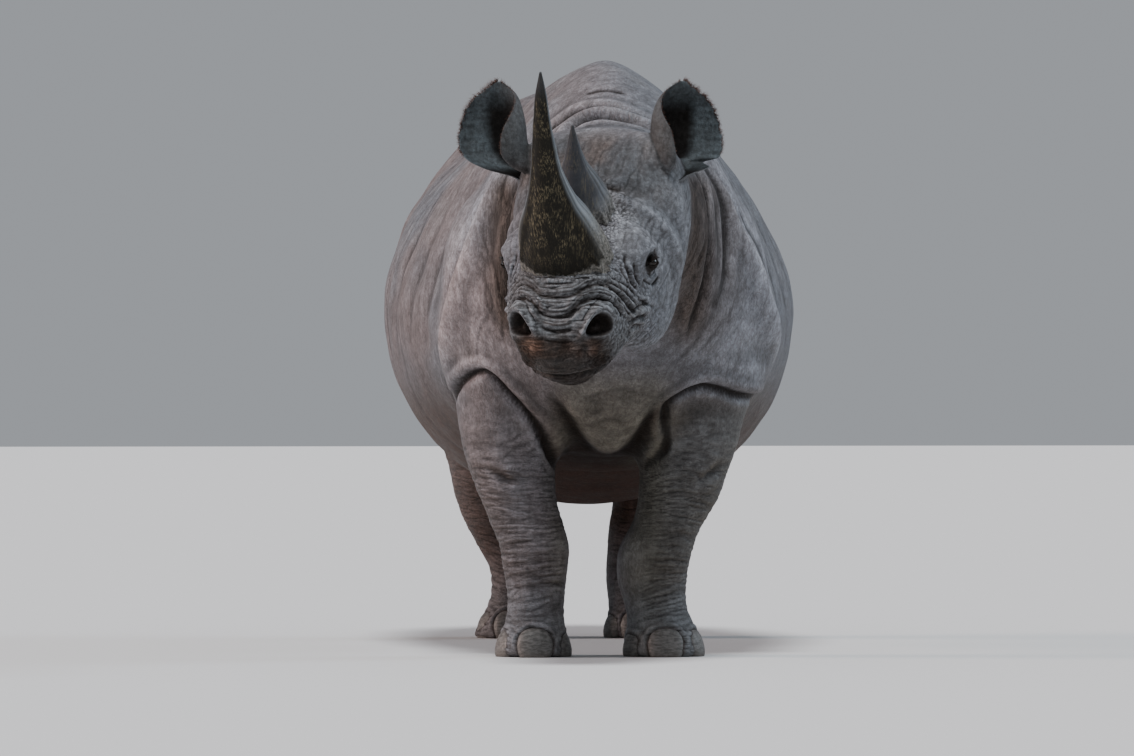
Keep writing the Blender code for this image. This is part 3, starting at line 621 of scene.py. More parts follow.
class Clay:
    """The skin while it is worked: its points, how far each is to be lifted, how deep it lies in a fold,
    which is later painted as shade.
    """

    def __init__(self, item, ear, face):
        self.item = item
        self.edges = get_edges(item.data)
        self.points = get_points(item.data)
        self.lift, self.groove, self.black, self.inside = np.zeros((4, len(self.points)))
        self.ear = blurred(ear, self.edges, 0.5, 2)
        self.ear_height, self.ear_way, self.ear_within = face.T
        self.renew()

    def renew(self):
        set_points(self.item.data, self.points)
        self.normals = get_normals(self.item.data)
        bpy.context.view_layer.update()

    def apply(self, soften=0):
        """Moves the points by what was asked for so far."""
        if soften:
            self.lift = blurred(self.lift, self.edges, 0.5, soften)
        self.points = self.points + self.normals * self.lift[:, None]
        self.lift[:] = 0
        self.renew()

    def mark(self, field, chosen, value):
        """Raises groove, black or inside to at least value at the chosen points."""
        values = getattr(self, field)
        values[chosen] = np.maximum(values[chosen], value)

    def snap(self, points):
        """The nearest places on the skin."""
        return [np.array(self.item.closest_point_on_mesh(Vector(point))[1]) for point in points]

    def by_head(self, places, side=1):
        """The places on the skin nearest to those in the head's axes, mirrored for side -1."""
        return self.snap([from_head(side * off, along, up) for off, along, up in places])

    def front(self, pairs):
        """Places on the face seen from straight ahead of the head, from their side distances and heights."""
        found = []
        for side, height in pairs:
            start = POLL + LEFT * side + AHEAD * 2
            start.z = height
            hit, place, *_ = self.item.ray_cast(start, -AHEAD)
            found.append(np.array(place if hit else start - AHEAD * 1.2))
        return found

    def near(self, path, reach):
        """For the points within reach of a path: which, how far, share of the way along, and side, 1 or -1.

        Seen from outside with the path running from left to right, points above it are on side 1.
        """
        path = smooth_path(path)
        low, high = path.min(axis=0) - reach, path.max(axis=0) + reach
        chosen = np.nonzero(np.all((self.points > low) & (self.points < high), axis=1))[0]
        spots = self.points[chosen]
        best = np.full(len(chosen), np.inf)
        share = np.zeros(len(chosen))
        away, run = np.zeros((2, len(chosen), 3))
        lengths = norm(np.diff(path, axis=0), axis=1)
        before = np.concatenate([[0], np.cumsum(lengths)])
        for index, (start, end) in enumerate(zip(path[:-1], path[1:])):
            span = end - start
            t = np.clip((spots - start) @ span / max(span @ span, 1e-12), 0, 1)
            off = spots - start - t[:, None] * span
            far = np.einsum("ij,ij->i", off, off)
            closer = far < best
            best[closer] = far[closer]
            share[closer] = (before[index] + t[closer] * lengths[index]) / before[-1]
            away[closer] = off[closer]
            run[closer] = span / lengths[index]
        far = np.sqrt(best)
        side = np.sign(np.einsum("ij,ij->i", np.cross(run, away), self.normals[chosen]))
        inside = far < reach
        return chosen[inside], far[inside], share[inside], side[inside]

    def crease(self, path, width, depth, above=0.0, below=0.0, roll=2.6, ends=0.18, dark=1.0):
        """A fold line: a valley along the path and a roll of skin on either side of it, with shade painted in
        the valley, scaled by dark.
        """
        chosen, far, share, side = self.near(path, width * roll * 2.4)
        fade = ramp(0, ends, share) * ramp(1, 1 - ends, share) * (1 - self.inside[chosen])
        signed = far * side / width
        shape = -depth * bell(far / width)
        shape += above * bell((signed - roll) / (0.55 * roll)) + below * bell((signed + roll) / (0.55 * roll))
        self.lift[chosen] += fade * shape
        self.mark("groove", chosen, dark * fade * bell(far / (0.9 * width)))


def head_measure(points):
    """Side, along and up from the poll, and how much each point belongs to the head."""
    side, along, up = to_head(points).T
    ahead = (points - np.array(POLL)) @ np.array(AHEAD)
    return side, along, up, ramp(-0.06, 0.04, along) * ramp(-0.17, -0.09, ahead)


# ---------------------------------------------------------------- skin: large forms


def soften_ledges(clay):
    """Blurs the ledge over each foreleg, so that only the crease under it stays sharp."""
    weight = np.zeros(len(clay.points))
    for path in ARCHES:
        chosen, far, _, _ = clay.near(clay.snap(path), 0.085)
        weight[chosen] = np.maximum(weight[chosen], ramp(0.085, 0.040, far))
    clay.points = local_blur(clay.points, clay.edges, weight, 40)
    clay.renew()


def form_body(clay):
    soften_ledges(clay)
    for path in SHOULDERS:
        clay.crease(clay.snap(path), 0.048, -0.028, ends=0.25, dark=0)
        clay.crease(clay.snap(np.array(path) + BEHIND_SHOULDER), 0.030, 0.036, ends=0.28, dark=0.55)
    clay.crease(clay.snap(SHOULDER_SECOND), 0.022, -0.008, ends=0.35, dark=0)
    clay.crease(clay.snap(np.array(SHOULDER_SECOND) + BEHIND_SHOULDER / 2), 0.016, 0.008, ends=0.35, dark=0.2)
    for width, depth, path in SIDE_FOLDS:
        for side in (1, -1):
            wander = 0.012 * noise(np.array(path) * side, 0.11, 45)[:, None]
            line = np.array([(MID_X + side * off, y, z) for off, y, z in path]) + wander
            clay.crease(clay.snap(line), width, depth, depth * 0.4, depth * 0.2, ends=0.45, dark=0.15)
    for path in ARCHES:
        clay.crease(clay.snap(path), 0.011, 0.024, 0.006, ends=0.10)
    for *sizes, settings, path in BODY_FOLDS:
        clay.crease(clay.snap(path), *sizes, **settings)
    clay.apply(soften=2)


def form_skull(clay):
    for side in (1, -1):
        for shift, width, depth, dark in (
            (0.0, 0.016, -0.009, 0),
            (-0.050, 0.022, 0.009, 0.12),
            (0.045, 0.020, 0.006, 0.12),
        ):
            line = clay.by_head([(off, along + shift, up) for off, along, up in TEMPLE], side)
            clay.crease(line, width, depth, dark=dark)
        pit = from_head(side * 0.070, 0.168, -0.033)
        clay.crease(clay.snap([pit - LEFT * 0.02, pit, pit + LEFT * 0.025]), 0.012, 0.008, 0.003, 0.003)
    clay.apply(soften=3)


def form_mouth(clay):
    # the pointed middle of the upper lip, between two shallow dips
    side, along, _ = to_head(clay.points).T
    height = clay.points[:, 2]
    clay.lift += 0.009 * bell(side / 0.045) * bell((height - 0.800) / 0.030) * ramp(0.58, 0.63, along)
    dips = bell((np.abs(side) - 0.085) / 0.025) * bell((height - 0.815) / 0.025)
    clay.lift -= 0.005 * dips * ramp(0.5, 0.6, along)
    clay.apply()
    clay.crease(clay.by_head(mirrored(MOUTH)), 0.0075, 0.015, 0.006, 0.005, roll=2.2, ends=0.05)
    for side in (1, -1):
        for line in MOUTH_CORNER:
            clay.crease(clay.by_head(line, side), 0.0055, 0.006, 0.004, 0.004)
    clay.apply(soften=1)


def form_nostrils(clay):
    """Comma-shaped openings, round at their outer end, under a heavy arched rim."""
    for side, (distance, height) in NOSTRILS.items():
        centre = clay.front([(side * distance, height)])[0]
        facing = unit(LEFT * side * 0.50 + AHEAD * 0.85)
        across = unit(np.cross(facing, (0, 0, 1)))
        across *= np.sign(across @ np.array(LEFT)) * side
        rise = np.cross(facing, across)
        rise *= np.sign(rise[2])
        off = clay.points - centre
        a, b, c = off @ across, off @ rise, off @ facing
        near = (np.abs(c) < 0.07) & (np.hypot(a, b) < 0.10)
        a, b = a[near], b[near]
        length = (a * math.cos(NOSTRIL_TILT) + b * math.sin(NOSTRIL_TILT)) / NOSTRIL_WIDE
        stand = b * math.cos(NOSTRIL_TILT) - a * math.sin(NOSTRIL_TILT) + 0.006 * length**2
        tall = NOSTRIL_TALL * (1 + 0.32 * np.clip(length, -1.5, 1.5))
        ring = np.hypot(length, stand / tall)
        upper = ramp(-0.6, 0.5, stand / tall)
        rim = bell((ring - 1.36) / 0.24) * (0.0030 + 0.0095 * upper)
        fold = bell((ring - 1.86) / 0.14) * upper * ramp(-1.3, -0.5, length)
        pit = 0.042 * ramp(1.10, 0.62, ring)
        inner = 0.016 * bell(np.hypot(length - 0.15, (stand + 0.010) / tall) / 0.45)
        clay.points[near] += np.outer(rim - 0.0045 * fold - pit + inner, facing)
        clay.points[near] -= np.outer(0.012 * ramp(1.0, 0.6, ring), across)
        # painted shade: dark in the nostril's pit, most at its top, and in the fold over its rim
        clay.mark("groove", near, np.maximum(ramp(1.16, 0.85, ring), 0.8 * fold))
        clay.mark("black", near, ramp(1.10, 0.80, ring) * (1 - 0.35 * ramp(0.1, -0.7, stand / tall)))
        clay.mark("inside", near, ramp(1.25, 1.0, ring))
    clay.renew()


def form_muzzle(clay):
    for pairs, sizes, shifts in (
        (WAVE_HIGH, (0.0060, 0.0065, 0.0050, 0.0035), (-0.014, 0.012, 0.022)),
        (WAVE_LOW, (0.0065, 0.0085, 0.0060, 0.0050), (0.013, 0.023, -0.011)),
    ):
        clay.crease(clay.front(mirrored(pairs)), *sizes, roll=2.3, ends=0.08)
        for number, shift in enumerate(shifts):
            stretch = 1 + 0.4 * shift * (-1) ** number
            line = [(off * stretch, height + shift) for off, height in mirrored(pairs)]
            part = line[number : len(line) - 2 * number]
            clay.crease(clay.front(part), 0.0032, 0.0030, 0.001, 0.001, ends=0.25, dark=0.7)
    for *sizes, pairs in MUZZLE_LINES:
        clay.crease(clay.front(pairs), *sizes)
    for side, lower in ((1, 0.0), (-1, 0.002)):
        for depth, pairs in CHEEK_LINES:
            line = clay.front([(side * off, height + lower) for off, height in pairs])
            clay.crease(line, 0.0042, depth, depth * 0.5, depth * 0.5)
    clay.apply(soften=1)


def form_horn_seats(clay):
    """A rough collar of skin round the base of each horn."""
    side, along, up = to_head(clay.points).T
    for name, size, height in HORN_COLLARS:
        share = np.clip((up + HORN_ROOT) / (HORNS[name]["length"] + HORN_ROOT), 0, 0.4)
        centre_side, centre_along, radius, radius_along = horn_section(name, share)
        away = (np.hypot((side - centre_side) / radius, (along - centre_along) / radius_along) - 1) * radius
        near = (np.abs(up) < 0.10) & (away < 0.12)
        pebbles = cells(clay.points, 0.011, 81)
        collar = bell((away - size * 0.6) / size) * near
        clay.lift += collar * height * (0.45 + 0.9 * np.clip(pebbles, 0, 0.7))
        # painted shade in the cracks between the collar's pebbles
        clay.mark("groove", slice(None), 0.6 * collar * ramp(0.16, 0.02, pebbles))
    clay.apply()


def eye_axes(side):
    """Outwards, to the nose and up, for the eye on that side."""
    outwards = (LEFT * side * 0.83 + AHEAD * 0.50 + Vector((0, 0, 0.24))).normalized()
    upwards = (Vector((0, 0, 1)) - outwards * outwards.z).normalized()
    level = outwards.cross(upwards)
    level = level if level.dot(AHEAD) > 0 else -level
    wide = level * math.cos(LID_TILT) - upwards * math.sin(LID_TILT)
    high = upwards * math.cos(LID_TILT) + level * math.sin(LID_TILT)
    return np.array(outwards), np.array(wide), np.array(high)


def form_eyes(clay):
    """Lids round each eyeball, which the skin otherwise lies behind, in a shallow socket under a brow."""
    for side, eye in EYES.items():
        outwards, wide, high = eye_axes(side)
        off = clay.points - np.array(eye)
        near = np.nonzero((norm(off, axis=1) < 0.09) & (off @ outwards > -0.03))[0]
        off = off[near]
        a, b, c = off @ wide, off @ high, off @ outwards
        around = np.hypot(a, b)
        ball = EYE_SIZE + LID
        lids = np.sqrt(np.clip(ball**2 - around**2, 0, None))
        lids -= 0.02 * ramp(0.7 * ball, 1.05 * ball, around) ** 2
        socket = c - 0.006 * bell((around - 0.027) / 0.010) * (1 + 0.5 * np.sign(b))
        socket = np.where(around < 0.022, np.minimum(socket, 0.006), socket)
        soft = 0.0025
        rise = soft * np.logaddexp(socket / soft, lids / soft)
        rise += 0.010 * bell((b - 0.034) / 0.011) * bell(a / 0.040)
        folds = np.hypot(a / 1.25, np.where(b > 0, b, b * 0.9))
        rise -= 0.0026 * bell((folds - 0.0205) / 0.0013) * ramp(-0.012, 0.002, b)
        rise -= 0.0024 * bell((folds - 0.0265) / 0.0016) + 0.0018 * bell((folds - 0.0330) / 0.0018)
        opening = np.hypot(a / EYE_OPEN_WIDE, b / np.where(b > 0, EYE_OPEN_UP, EYE_OPEN_DOWN))
        inner = np.sqrt(np.clip(EYE_SIZE**2 - around**2, 0, None)) - 0.004
        rise += (inner - rise) * ramp(1.06, 0.93, opening)
        rise += 0.0012 * bell((opening - 1.16) / 0.10)
        clay.points[near] += np.outer((rise - c) * ramp(0.085, 0.055, norm(off, axis=1)), outwards)
        # painted black round the eye opening and shade in the lid folds, for dark skin and the shade of the
        # lids; the tear streak below the inner corner is a real wet stain
        tear = bell((a - 0.014) / 0.009) * ramp(0.004, -0.004, b) * ramp(-0.040, -0.022, b)
        dark = np.maximum(ramp(1.75, 1.15, opening), 0.8 * tear)
        clay.mark("groove", near, np.maximum(dark, 0.5 * bell((folds - 0.0265) / 0.0022)))
        clay.mark("black", near, np.maximum(ramp(2.75, 2.05, opening), 0.95 * tear))
    clay.renew()
    for side in EYES:
        for *sizes, line in EYE_LINES:
            clay.crease(clay.by_head(line, side), *sizes)
    clay.apply(soften=1)


def nail_axes(name):
    """Centre, size and axes, as rows, of the egg shape of a nail."""
    turn = NAIL_TURN[name[-1]]
    centre = np.array((*middle(name)[:2], NAIL_HEIGHT))
    size = np.array(NAIL_SIZE) * ((0.85, 1, 0.9) if turn else (1, 1, 1))
    axes = (Matrix.Rotation(turn, 3, "Z") @ Matrix.Rotation(NAIL_LEAN, 3, "X")).transposed()
    return centre, size, np.array(axes)


def form_nail_beds(clay):
    """Skin drawn back from each nail, with a fold over its root."""
    for name in NAILS:
        centre, size, axes = nail_axes(name)
        off = clay.points - centre
        near = np.nonzero(norm(off, axis=1) < 0.09)[0]
        off = off[near]
        egg = off @ axes.T / size
        ring = norm(egg, axis=1)
        clay.points[near] -= (off / np.maximum(ring, 0.2)[:, None]) * (0.10 * ramp(1.14, 1.0, ring))[:, None]
        fold = 0.0035 * bell((ring - 1.30) / 0.12) * ramp(-0.2, 0.5, egg[:, 2])
        clay.points[near] += clay.normals[near] * fold[:, None]
        # painted shade in the crease where the skin meets the nail
        clay.mark("groove", near, ramp(1.24, 1.08, ring))
    clay.points[:, 2] = np.maximum(clay.points[:, 2], 0.0)
    clay.renew()


# ---------------------------------------------------------------- skin: wrinkles all over


def neck_band(points):
    """The finely lined skin on both sides of the neck."""
    x, y, z = points.T
    reach = ramp(FORE_Y - 0.05, FORE_Y - 0.22, y) * (1 - head_measure(points)[3])
    reach *= np.maximum(bell((x - 0.20) / 0.075), bell((x + 0.300) / 0.050))
    return reach * ramp(0.80, 0.95, z) * ramp(1.36, 1.22, z)


def on_leg(points):
    x, y, z = points.T
    away = np.min([np.hypot((x - leg_x) / 0.20, (y - leg_y) / 0.27) for leg_x, leg_y in LEG_CENTRES], axis=0)
    return ramp(0.70, 0.50, z) * ramp(1.15, 0.85, away)


def wrinkle(clay):
    """Irregular folds that follow how each part bends."""
    points = clay.points
    _, y, z = points.T
    side, along, up, head = head_measure(points)
    leg = on_leg(points)
    ankle = ramp(0.42, 0.25, z) * ramp(0.02, 0.08, z)
    body = (1 - leg) * (1 - head)
    flank = body * ramp(FORE_Y - 0.15, FORE_Y + 0.15, y)
    neck = body * ramp(FORE_Y - 0.05, FORE_Y - 0.22, y) * (1 - 0.75 * ramp(1.28, 1.40, z))
    band = neck_band(points)
    bridge = head * ramp(0.36, 0.46, along)
    cheek = head * (1 - bridge)
    fade = 0.5 + 0.5 * noise(points, 0.12, 5)
    faded = 0.3 + 0.7 * fade
    warp = noise(points, 0.16, 3)[:, None] * 0.05
    bent = points + warp
    turned = np.stack([side, along, up], axis=1)
    # swells, how high they are at each point, the swell that stays level, and how much shade is painted in
    # their valleys
    upright = creased(bent, (0.50, 0.12, 0.75), 21, 1)
    ring_height = leg * ((1 - ankle) * 0.0010 * faded + ankle * 0.0026 * (0.4 + 0.6 * fade))
    dark = np.zeros(len(points))
    for swells, height, level, darkness in (
        (creased(bent, (0.17, 0.17, 0.020), 11), ring_height, 0.7, leg * (0.04 + 0.22 * ankle)),
        (creased(bent, (0.06, 0.06, 0.011), 12), leg * 0.0016, 0.7, leg * 0.15),
        (upright, flank * 0.0042 * (0.15 + 0.85 * fade), 0.75, flank * 0.08 * fade),
        (creased(bent, (0.35, 0.055, 0.35), 31), neck * 0.004 * faded, 0.7, neck * 0.45 * fade),
        (creased(bent, (0.035, 0.035, 0.30), 33), band * 0.0026, 0.7, band * 0.45),
        (creased(turned + warp * 0.3, (0.10, 0.013, 0.013), 51), bridge * 0.0030, 0.7, bridge * 0.5),
        (creased(turned + warp * 0.4, (0.02, 0.07, 0.03), 61),
         cheek * 0.0022 * faded, 0.7, cheek * 0.35 * fade),
    ):
        clay.lift += height * (swells - level)
        dark += (1 - swells) * darkness
    # soft unevenness of flesh, and pebbles on the lip and muzzle
    clay.lift += body * 0.006 * noise(points, 0.22, 41) + 0.0018 * noise(points, 0.06, 42)
    pebbles = cells(turned + warp * 0.2, 0.0075, 55)
    clay.lift += bridge * (0.0012 * ramp(0.88, 0.84, z) + 0.0005) * (np.clip(pebbles, 0, 0.5) - 0.2)
    bare = (1 - clay.ear) * (1 - clay.inside)
    clay.mark("groove", slice(None), np.clip(dark * bare, 0, 1))
    clay.lift *= bare
    clay.apply()


# ---------------------------------------------------------------- skin: colours


def mixed(colour, other, share):
    return colour + (np.array(other) - colour) * np.clip(share, 0, 1)[:, None]


def layered(colour, layers):
    for tint, share in layers:
        colour = mixed(colour, tint, share)
    return colour


def relief_of(clay, rounds, size):
    """How far each point stands out of (1) or lies below (-1) the skin round it."""
    mean = blurred(clay.points, clay.edges, 0.5, rounds)
    return np.tanh(np.einsum("ij,ij->i", clay.points - mean, clay.normals) / size)


def body_colours(clay, head, broad, patchy):
    """Colours of the trunk, neck and legs with painted light and shade, and how much of each point lies in
    the painted shade between the forelegs.
    """
    x, y, z = clay.points.T
    upward = clay.normals[:, 2]
    body = 1 - head
    from_middle = np.abs(x - MID_X)
    # painted warm light: the warm grey grows towards the animal's right side, over random warm patches
    # everywhere
    warm = 0.15 + 0.85 * ramp(0.15, -0.30, x)
    dust = bell((z - 0.80) / 0.07) * bell((y - FORE_Y) / 0.22)
    colour = layered(np.tile(GREY, (len(x), 1)), (
        (WARM_GREY, 0.85 * warm * ramp(0.20, 0.65, broad)),
        (PALE, 0.30 * ramp(0.45, 0.80, patchy) * ramp(-0.3, 0.6, upward)),
        (PALE, 0.18 * dust * body),
    ))
    # painted light: the shoulders brighter as if lit from the side, the rear half and the top of the back
    # darker as painted shade; the head and legs a little darker
    lit_shoulder = bell((y - FORE_Y + 0.17) / 0.15) * ramp(0.70, 0.85, z) * ramp(0.14, 0.28, from_middle)
    rear = ramp(FORE_Y + 0.02, FORE_Y + 0.30, y)
    back = ramp(1.30, 1.42, z) * body
    light = (1 - 0.12 * head) * (1 + 0.30 * lit_shoulder * body) * (1 - 0.16 * rear) * (1 - 0.14 * back)
    colour = colour * (light * (1 - 0.16 * on_leg(clay.points)))[:, None]
    # painted shade on the faces that turn down, under the belly and chest
    under = ramp(0.1, -0.6, upward) * ramp(0.85, 0.60, z) * body
    # painted shade, dark red-brown, between the forelegs under the chest
    between = ramp(0.26, 0.14, from_middle) * ramp(0.68, 0.58, z) * ramp(0.20, 0.35, z)
    between *= ramp(FORE_Y - 0.14, FORE_Y + 0.04, y)
    # painted shade on the throat under the head, darkest in bands behind the cheeks
    throat_shade = ramp(0.78, 0.90, z) * ramp(1.32, 1.22, z) * ramp(FORE_Y - 0.18, FORE_Y - 0.25, y) * body
    # painted shade, red-brown, on the lower body behind the forelegs
    behind = ramp(FORE_Y + 0.20, FORE_Y + 0.40, y) * ramp(0.75, 0.50, z)
    brisket = ramp(0.19, 0.10, from_middle) * ramp(0.80, 0.70, z) * ramp(FORE_Y, FORE_Y - 0.08, y)
    # painted shade on the lower fore part of the animal's left side: its foreleg and the chest beside it
    left_foreleg_shade = ramp(0.72, 0.62, z) * ramp(0.02, 0.10, x) * ramp(FORE_Y + 0.40, FORE_Y + 0.25, y)
    colour = layered(colour, (
        (DARK, 0.85 * under),
        (RED_BROWN * 0.28, 0.96 * between),
        (DARK * 1.3, 0.90 * throat_shade * np.maximum(bell((x - 0.185) / 0.055), bell((x + 0.300) / 0.045))),
        (DARK * 1.4, 0.35 * throat_shade),
        (RED_BROWN, 0.60 * behind),
        (OLIVE * 0.85, 0.50 * brisket * body),
        (OLIVE * 0.36, 0.72 * left_foreleg_shade * (0.55 + 0.45 * broad)),
        (BLUE_GREY * 0.85, 0.45 * ramp(0.24, 0.08, z)),
    ))
    return colour, between


def painted(clay):
    """The skin's own colours, before the fine variation of its material, and where it is wet and dull."""
    points = clay.points
    side, along, up, head = head_measure(points)
    z = points[:, 2]
    broad = 0.5 + 0.5 * noise(points, 0.30, 91, 3)
    patchy = 0.5 + 0.5 * noise(points, 0.07, 92, 3)
    colour, between = body_colours(clay, head, broad, patchy)
    # the head: dark crown, brown forehead, pale scurf round the horns, dark lip with flesh-coloured patches;
    # painted shade under the muzzle over dark wet skin, and painted cool light on the head's left side
    brow = ramp(0.30, 0.10, along) * ramp(-0.16, -0.05, up)
    crown = ramp(0.26, 0.14, along) * ramp(-0.15, -0.07, up)
    scurf = ramp(0.17, 0.07, np.hypot(side - 0.05, along - 0.30)) * ramp(0.35, 0.65, patchy)
    muzzle = head * ramp(0.42, 0.50, along)
    ragged = z + 0.014 * noise(points, 0.028, 93, 2)
    # painted shade on the lower muzzle, over dark wet skin that is partly glossy
    lower = muzzle * ramp(0.876, 0.836, ragged) * ramp(0.150, 0.105, np.abs(side)) * ramp(0.50, 0.60, along)
    lip = muzzle * bell((z - 0.778) / 0.020) * ramp(0.085, 0.045, np.abs(side)) * ramp(0.60, 0.64, along)
    spots = [
        muzzle * bell((side - spot_side) / 0.026) * bell((z - spot_height) / 0.018) * ramp(0.15, 0.5, patchy)
        for spot_side, spot_height in ((-0.067, 0.833), (0.065, 0.826))
    ]
    # the ears: painted shade in the slit down the cup beside its inner edge, and in the cup's root
    within = clay.ear * clay.ear_within
    inner, outer = table_at(EAR_ROWS, np.clip(clay.ear_height, 0, 1))[3:]
    slit_shade = ramp(34, 12, -inner + (inner + outer) * clay.ear_way) * ramp(0.02, 0.08, clay.ear_way)
    slit_shade = within * np.maximum(slit_shade * ramp(0.96, 0.66, clay.ear_height), ramp(0.14, 0.04, clay.ear_height))
    colour = layered(colour, (
        (BLUE_GREY * 0.34, 0.86 * head * crown),
        (BROWN * 0.8, 0.60 * head * brow * ramp(0.30, 0.75, patchy)),
        (PALE, 0.75 * head * scurf),
        (SLATE, 0.60 * muzzle),
        # painted cool light on the head's left side
        (BLUE_GREY, 0.35 * head * ramp(0.08, 0.16, side) * (1 - muzzle)),
        # painted shade under the muzzle, over dark wet skin
        (DARK * 0.35, lower * (0.78 + 0.20 * ramp(0.20, 0.55, patchy))),
        (WET_AND_SHADE_BLACK, 0.95 * lip),
        *[(FLESH_PINK, 0.75 * spot) for spot in spots],
        (SLATE * 0.42, 0.90 * clay.ear * ramp(-0.05, 0.25, clay.ear_height)),
        (EAR_LINING, 0.92 * within),
        # painted shade in the ear's slit and root
        (WET_AND_SHADE_BLACK * 0.6, 0.96 * slit_shade),
        # painted shade in the folds and creases marked while sculpting
        (DARK * 0.8, 0.80 * clay.groove),
    ))
    # painted light and shade: ridges lighter, valleys darker; then black in the nostrils and round the eyes
    # as painted shade, and down the tear streaks, which are wet stains
    fine_relief = relief_of(clay, 2, 0.00035)
    broad_relief = relief_of(clay, 12, 0.0016)
    ridge = np.clip(0.6 * fine_relief + 0.6 * broad_relief, 0, 1) * (1 - 0.7 * clay.ear)
    valley = np.clip(-0.7 * fine_relief - 0.6 * broad_relief, 0, 1)
    colour = colour * (1 + 0.45 * ridge * (1 - 0.6 * clay.groove))[:, None]
    colour = layered(colour, ((colour * 0.30, 0.85 * valley), (WET_AND_SHADE_BLACK, 0.94 * clay.black)))
    wet = np.clip(lip + 0.5 * lower * ramp(0.55, 0.70, patchy), 0, 1)
    return colour, wet, np.max([clay.groove, clay.black, between, lower * (1 - wet), slit_shade], axis=0)


def build_skin():
    item = united()
    smooth_body(item.data)
    for chosen in (on_head_or_lower_legs, on_face, near_eyes):
        refined(item, chosen)
    set_points(item.data, blurred(get_points(item.data), get_edges(item.data), 0.5, 6))
    clay = Clay(item, *join_ears(item))
    for form in (form_body, form_skull, form_mouth, form_nostrils, form_muzzle, form_horn_seats, form_eyes):
        form(clay)
    wrinkle(clay)
    form_nail_beds(clay)
    colour, wet, dull = painted(clay)
    keep_colour(item, "tone", colour)
    fine = np.maximum(head_measure(clay.points)[3], clay.ear)
    keep_values(item, dull=dull, lined=neck_band(clay.points), wet=wet, fine=fine, leg=on_leg(clay.points))
    print("SKIN", len(item.data.vertices), len(item.data.polygons))
    return finish_piece(item, skin_material(), "skin", *FLESH, *EARS)


# ---------------------------------------------------------------- horns, eyes and nails


def horn_section(name, share):
    """Side and along of a horn's axis and its two radii, at shares of its length."""
    spec = HORNS[name]
    along = spec["place"] - spec["sweep"] * spec["length"] * share**1.7
    side = spec["lean"] * spec["length"] * share + spec["bow"] * np.sin(np.pi * share)
    radius = table_at(HORN_RADII[name], share)[1]
    return side, along, radius, radius * (spec["base"] + (1 - spec["base"]) * share)


def build_horn(name):
    """A horn of matted fibres: frayed at its root, worn smooth up its front."""
    rows, columns = 260, 160
    share = np.linspace(0, 1, rows) ** 0.85
    angle = np.linspace(0, 2 * np.pi, columns, endpoint=False)
    side, along, radius, radius_along = (value[:, None] for value in horn_section(name, share))
    height, round_x, round_y = np.broadcast_arrays(share[:, None], np.cos(angle), np.sin(angle))
    front = ramp(0.25, 0.70, round_y) * ramp(0.10, 0.24, height)
    worn = front * ramp(0.93, 0.84, height) if name == "horn_front" else front * 0.3
    turned = np.stack([round_x, round_y, height], axis=-1).reshape(-1, 3)
    fibre, strand, ledge = (
        noise(turned, size, seed, 2).reshape(rows, columns)
        for size, seed in (((0.06, 0.06, 0.45), 101), ((0.16, 0.16, 0.30), 102), ((0.9, 0.9, 0.035), 103))
    )
    rough = ramp(0.42, 0.02, height)
    frayed = ramp(0.16, 0.06, height)
    relief = fibre * (0.0007 + 0.0022 * rough + 0.0030 * frayed) + ledge * 0.0010
    relief += strand * (0.0006 + 0.0040 * rough + 0.0040 * frayed)
    relief *= (1 - 0.75 * worn) * ramp(1.0, 0.9, height)
    factor = 1 - 0.12 * worn + relief / np.maximum(radius, 0.01)
    up = -HORN_ROOT + height * (HORNS[name]["length"] + HORN_ROOT)
    local = np.stack([side + radius * factor * round_x, along + radius_along * factor * round_y, up], axis=-1)
    made = loft(name + "_form", np.array(POLL) + local @ HEAD_AXES)
    strand = (fibre * 0.6 + strand * 0.4) * 0.5 + 0.5
    keep_values(made, height=height, worn=worn, front=round_y, strand=strand)
    finish_piece(made, horn_material(name), "horn", name)


def ball_rings(rows, columns):
    """Unit directions on rings round the Z axis, from the bottom to the top."""
    tilt = np.linspace(-0.5 * np.pi + 0.01, 0.5 * np.pi - 0.01, rows)[:, None]
    turn = np.linspace(0, 2 * np.pi, columns, endpoint=False)
    rings = np.broadcast_arrays(np.cos(tilt) * np.cos(turn), np.cos(tilt) * np.sin(turn), np.sin(tilt))
    return np.stack(rings, axis=-1)


def build_nail(name, material):
    centre, size, axes = nail_axes(name)
    ball = ball_rings(48, 64)
    blocky = np.sign(ball) * np.abs(ball) ** 0.85
    lines, steps = (
        noise(ball.reshape(-1, 3), grain, seed, 2).reshape(48, 64, 1)
        for grain, seed in (((0.10, 0.10, 2.0), 111), ((1.5, 1.5, 0.16), 112))
    )
    points = centre + (blocky * (1.03 + 0.018 * lines + 0.016 * steps) * size) @ axes
    points[..., 2] = np.maximum(points[..., 2], 0.0004)
    made = loft(name + "_form", points)
    keep_values(made, height=ball[..., 2])
    finish_piece(made, material, "nail", name)


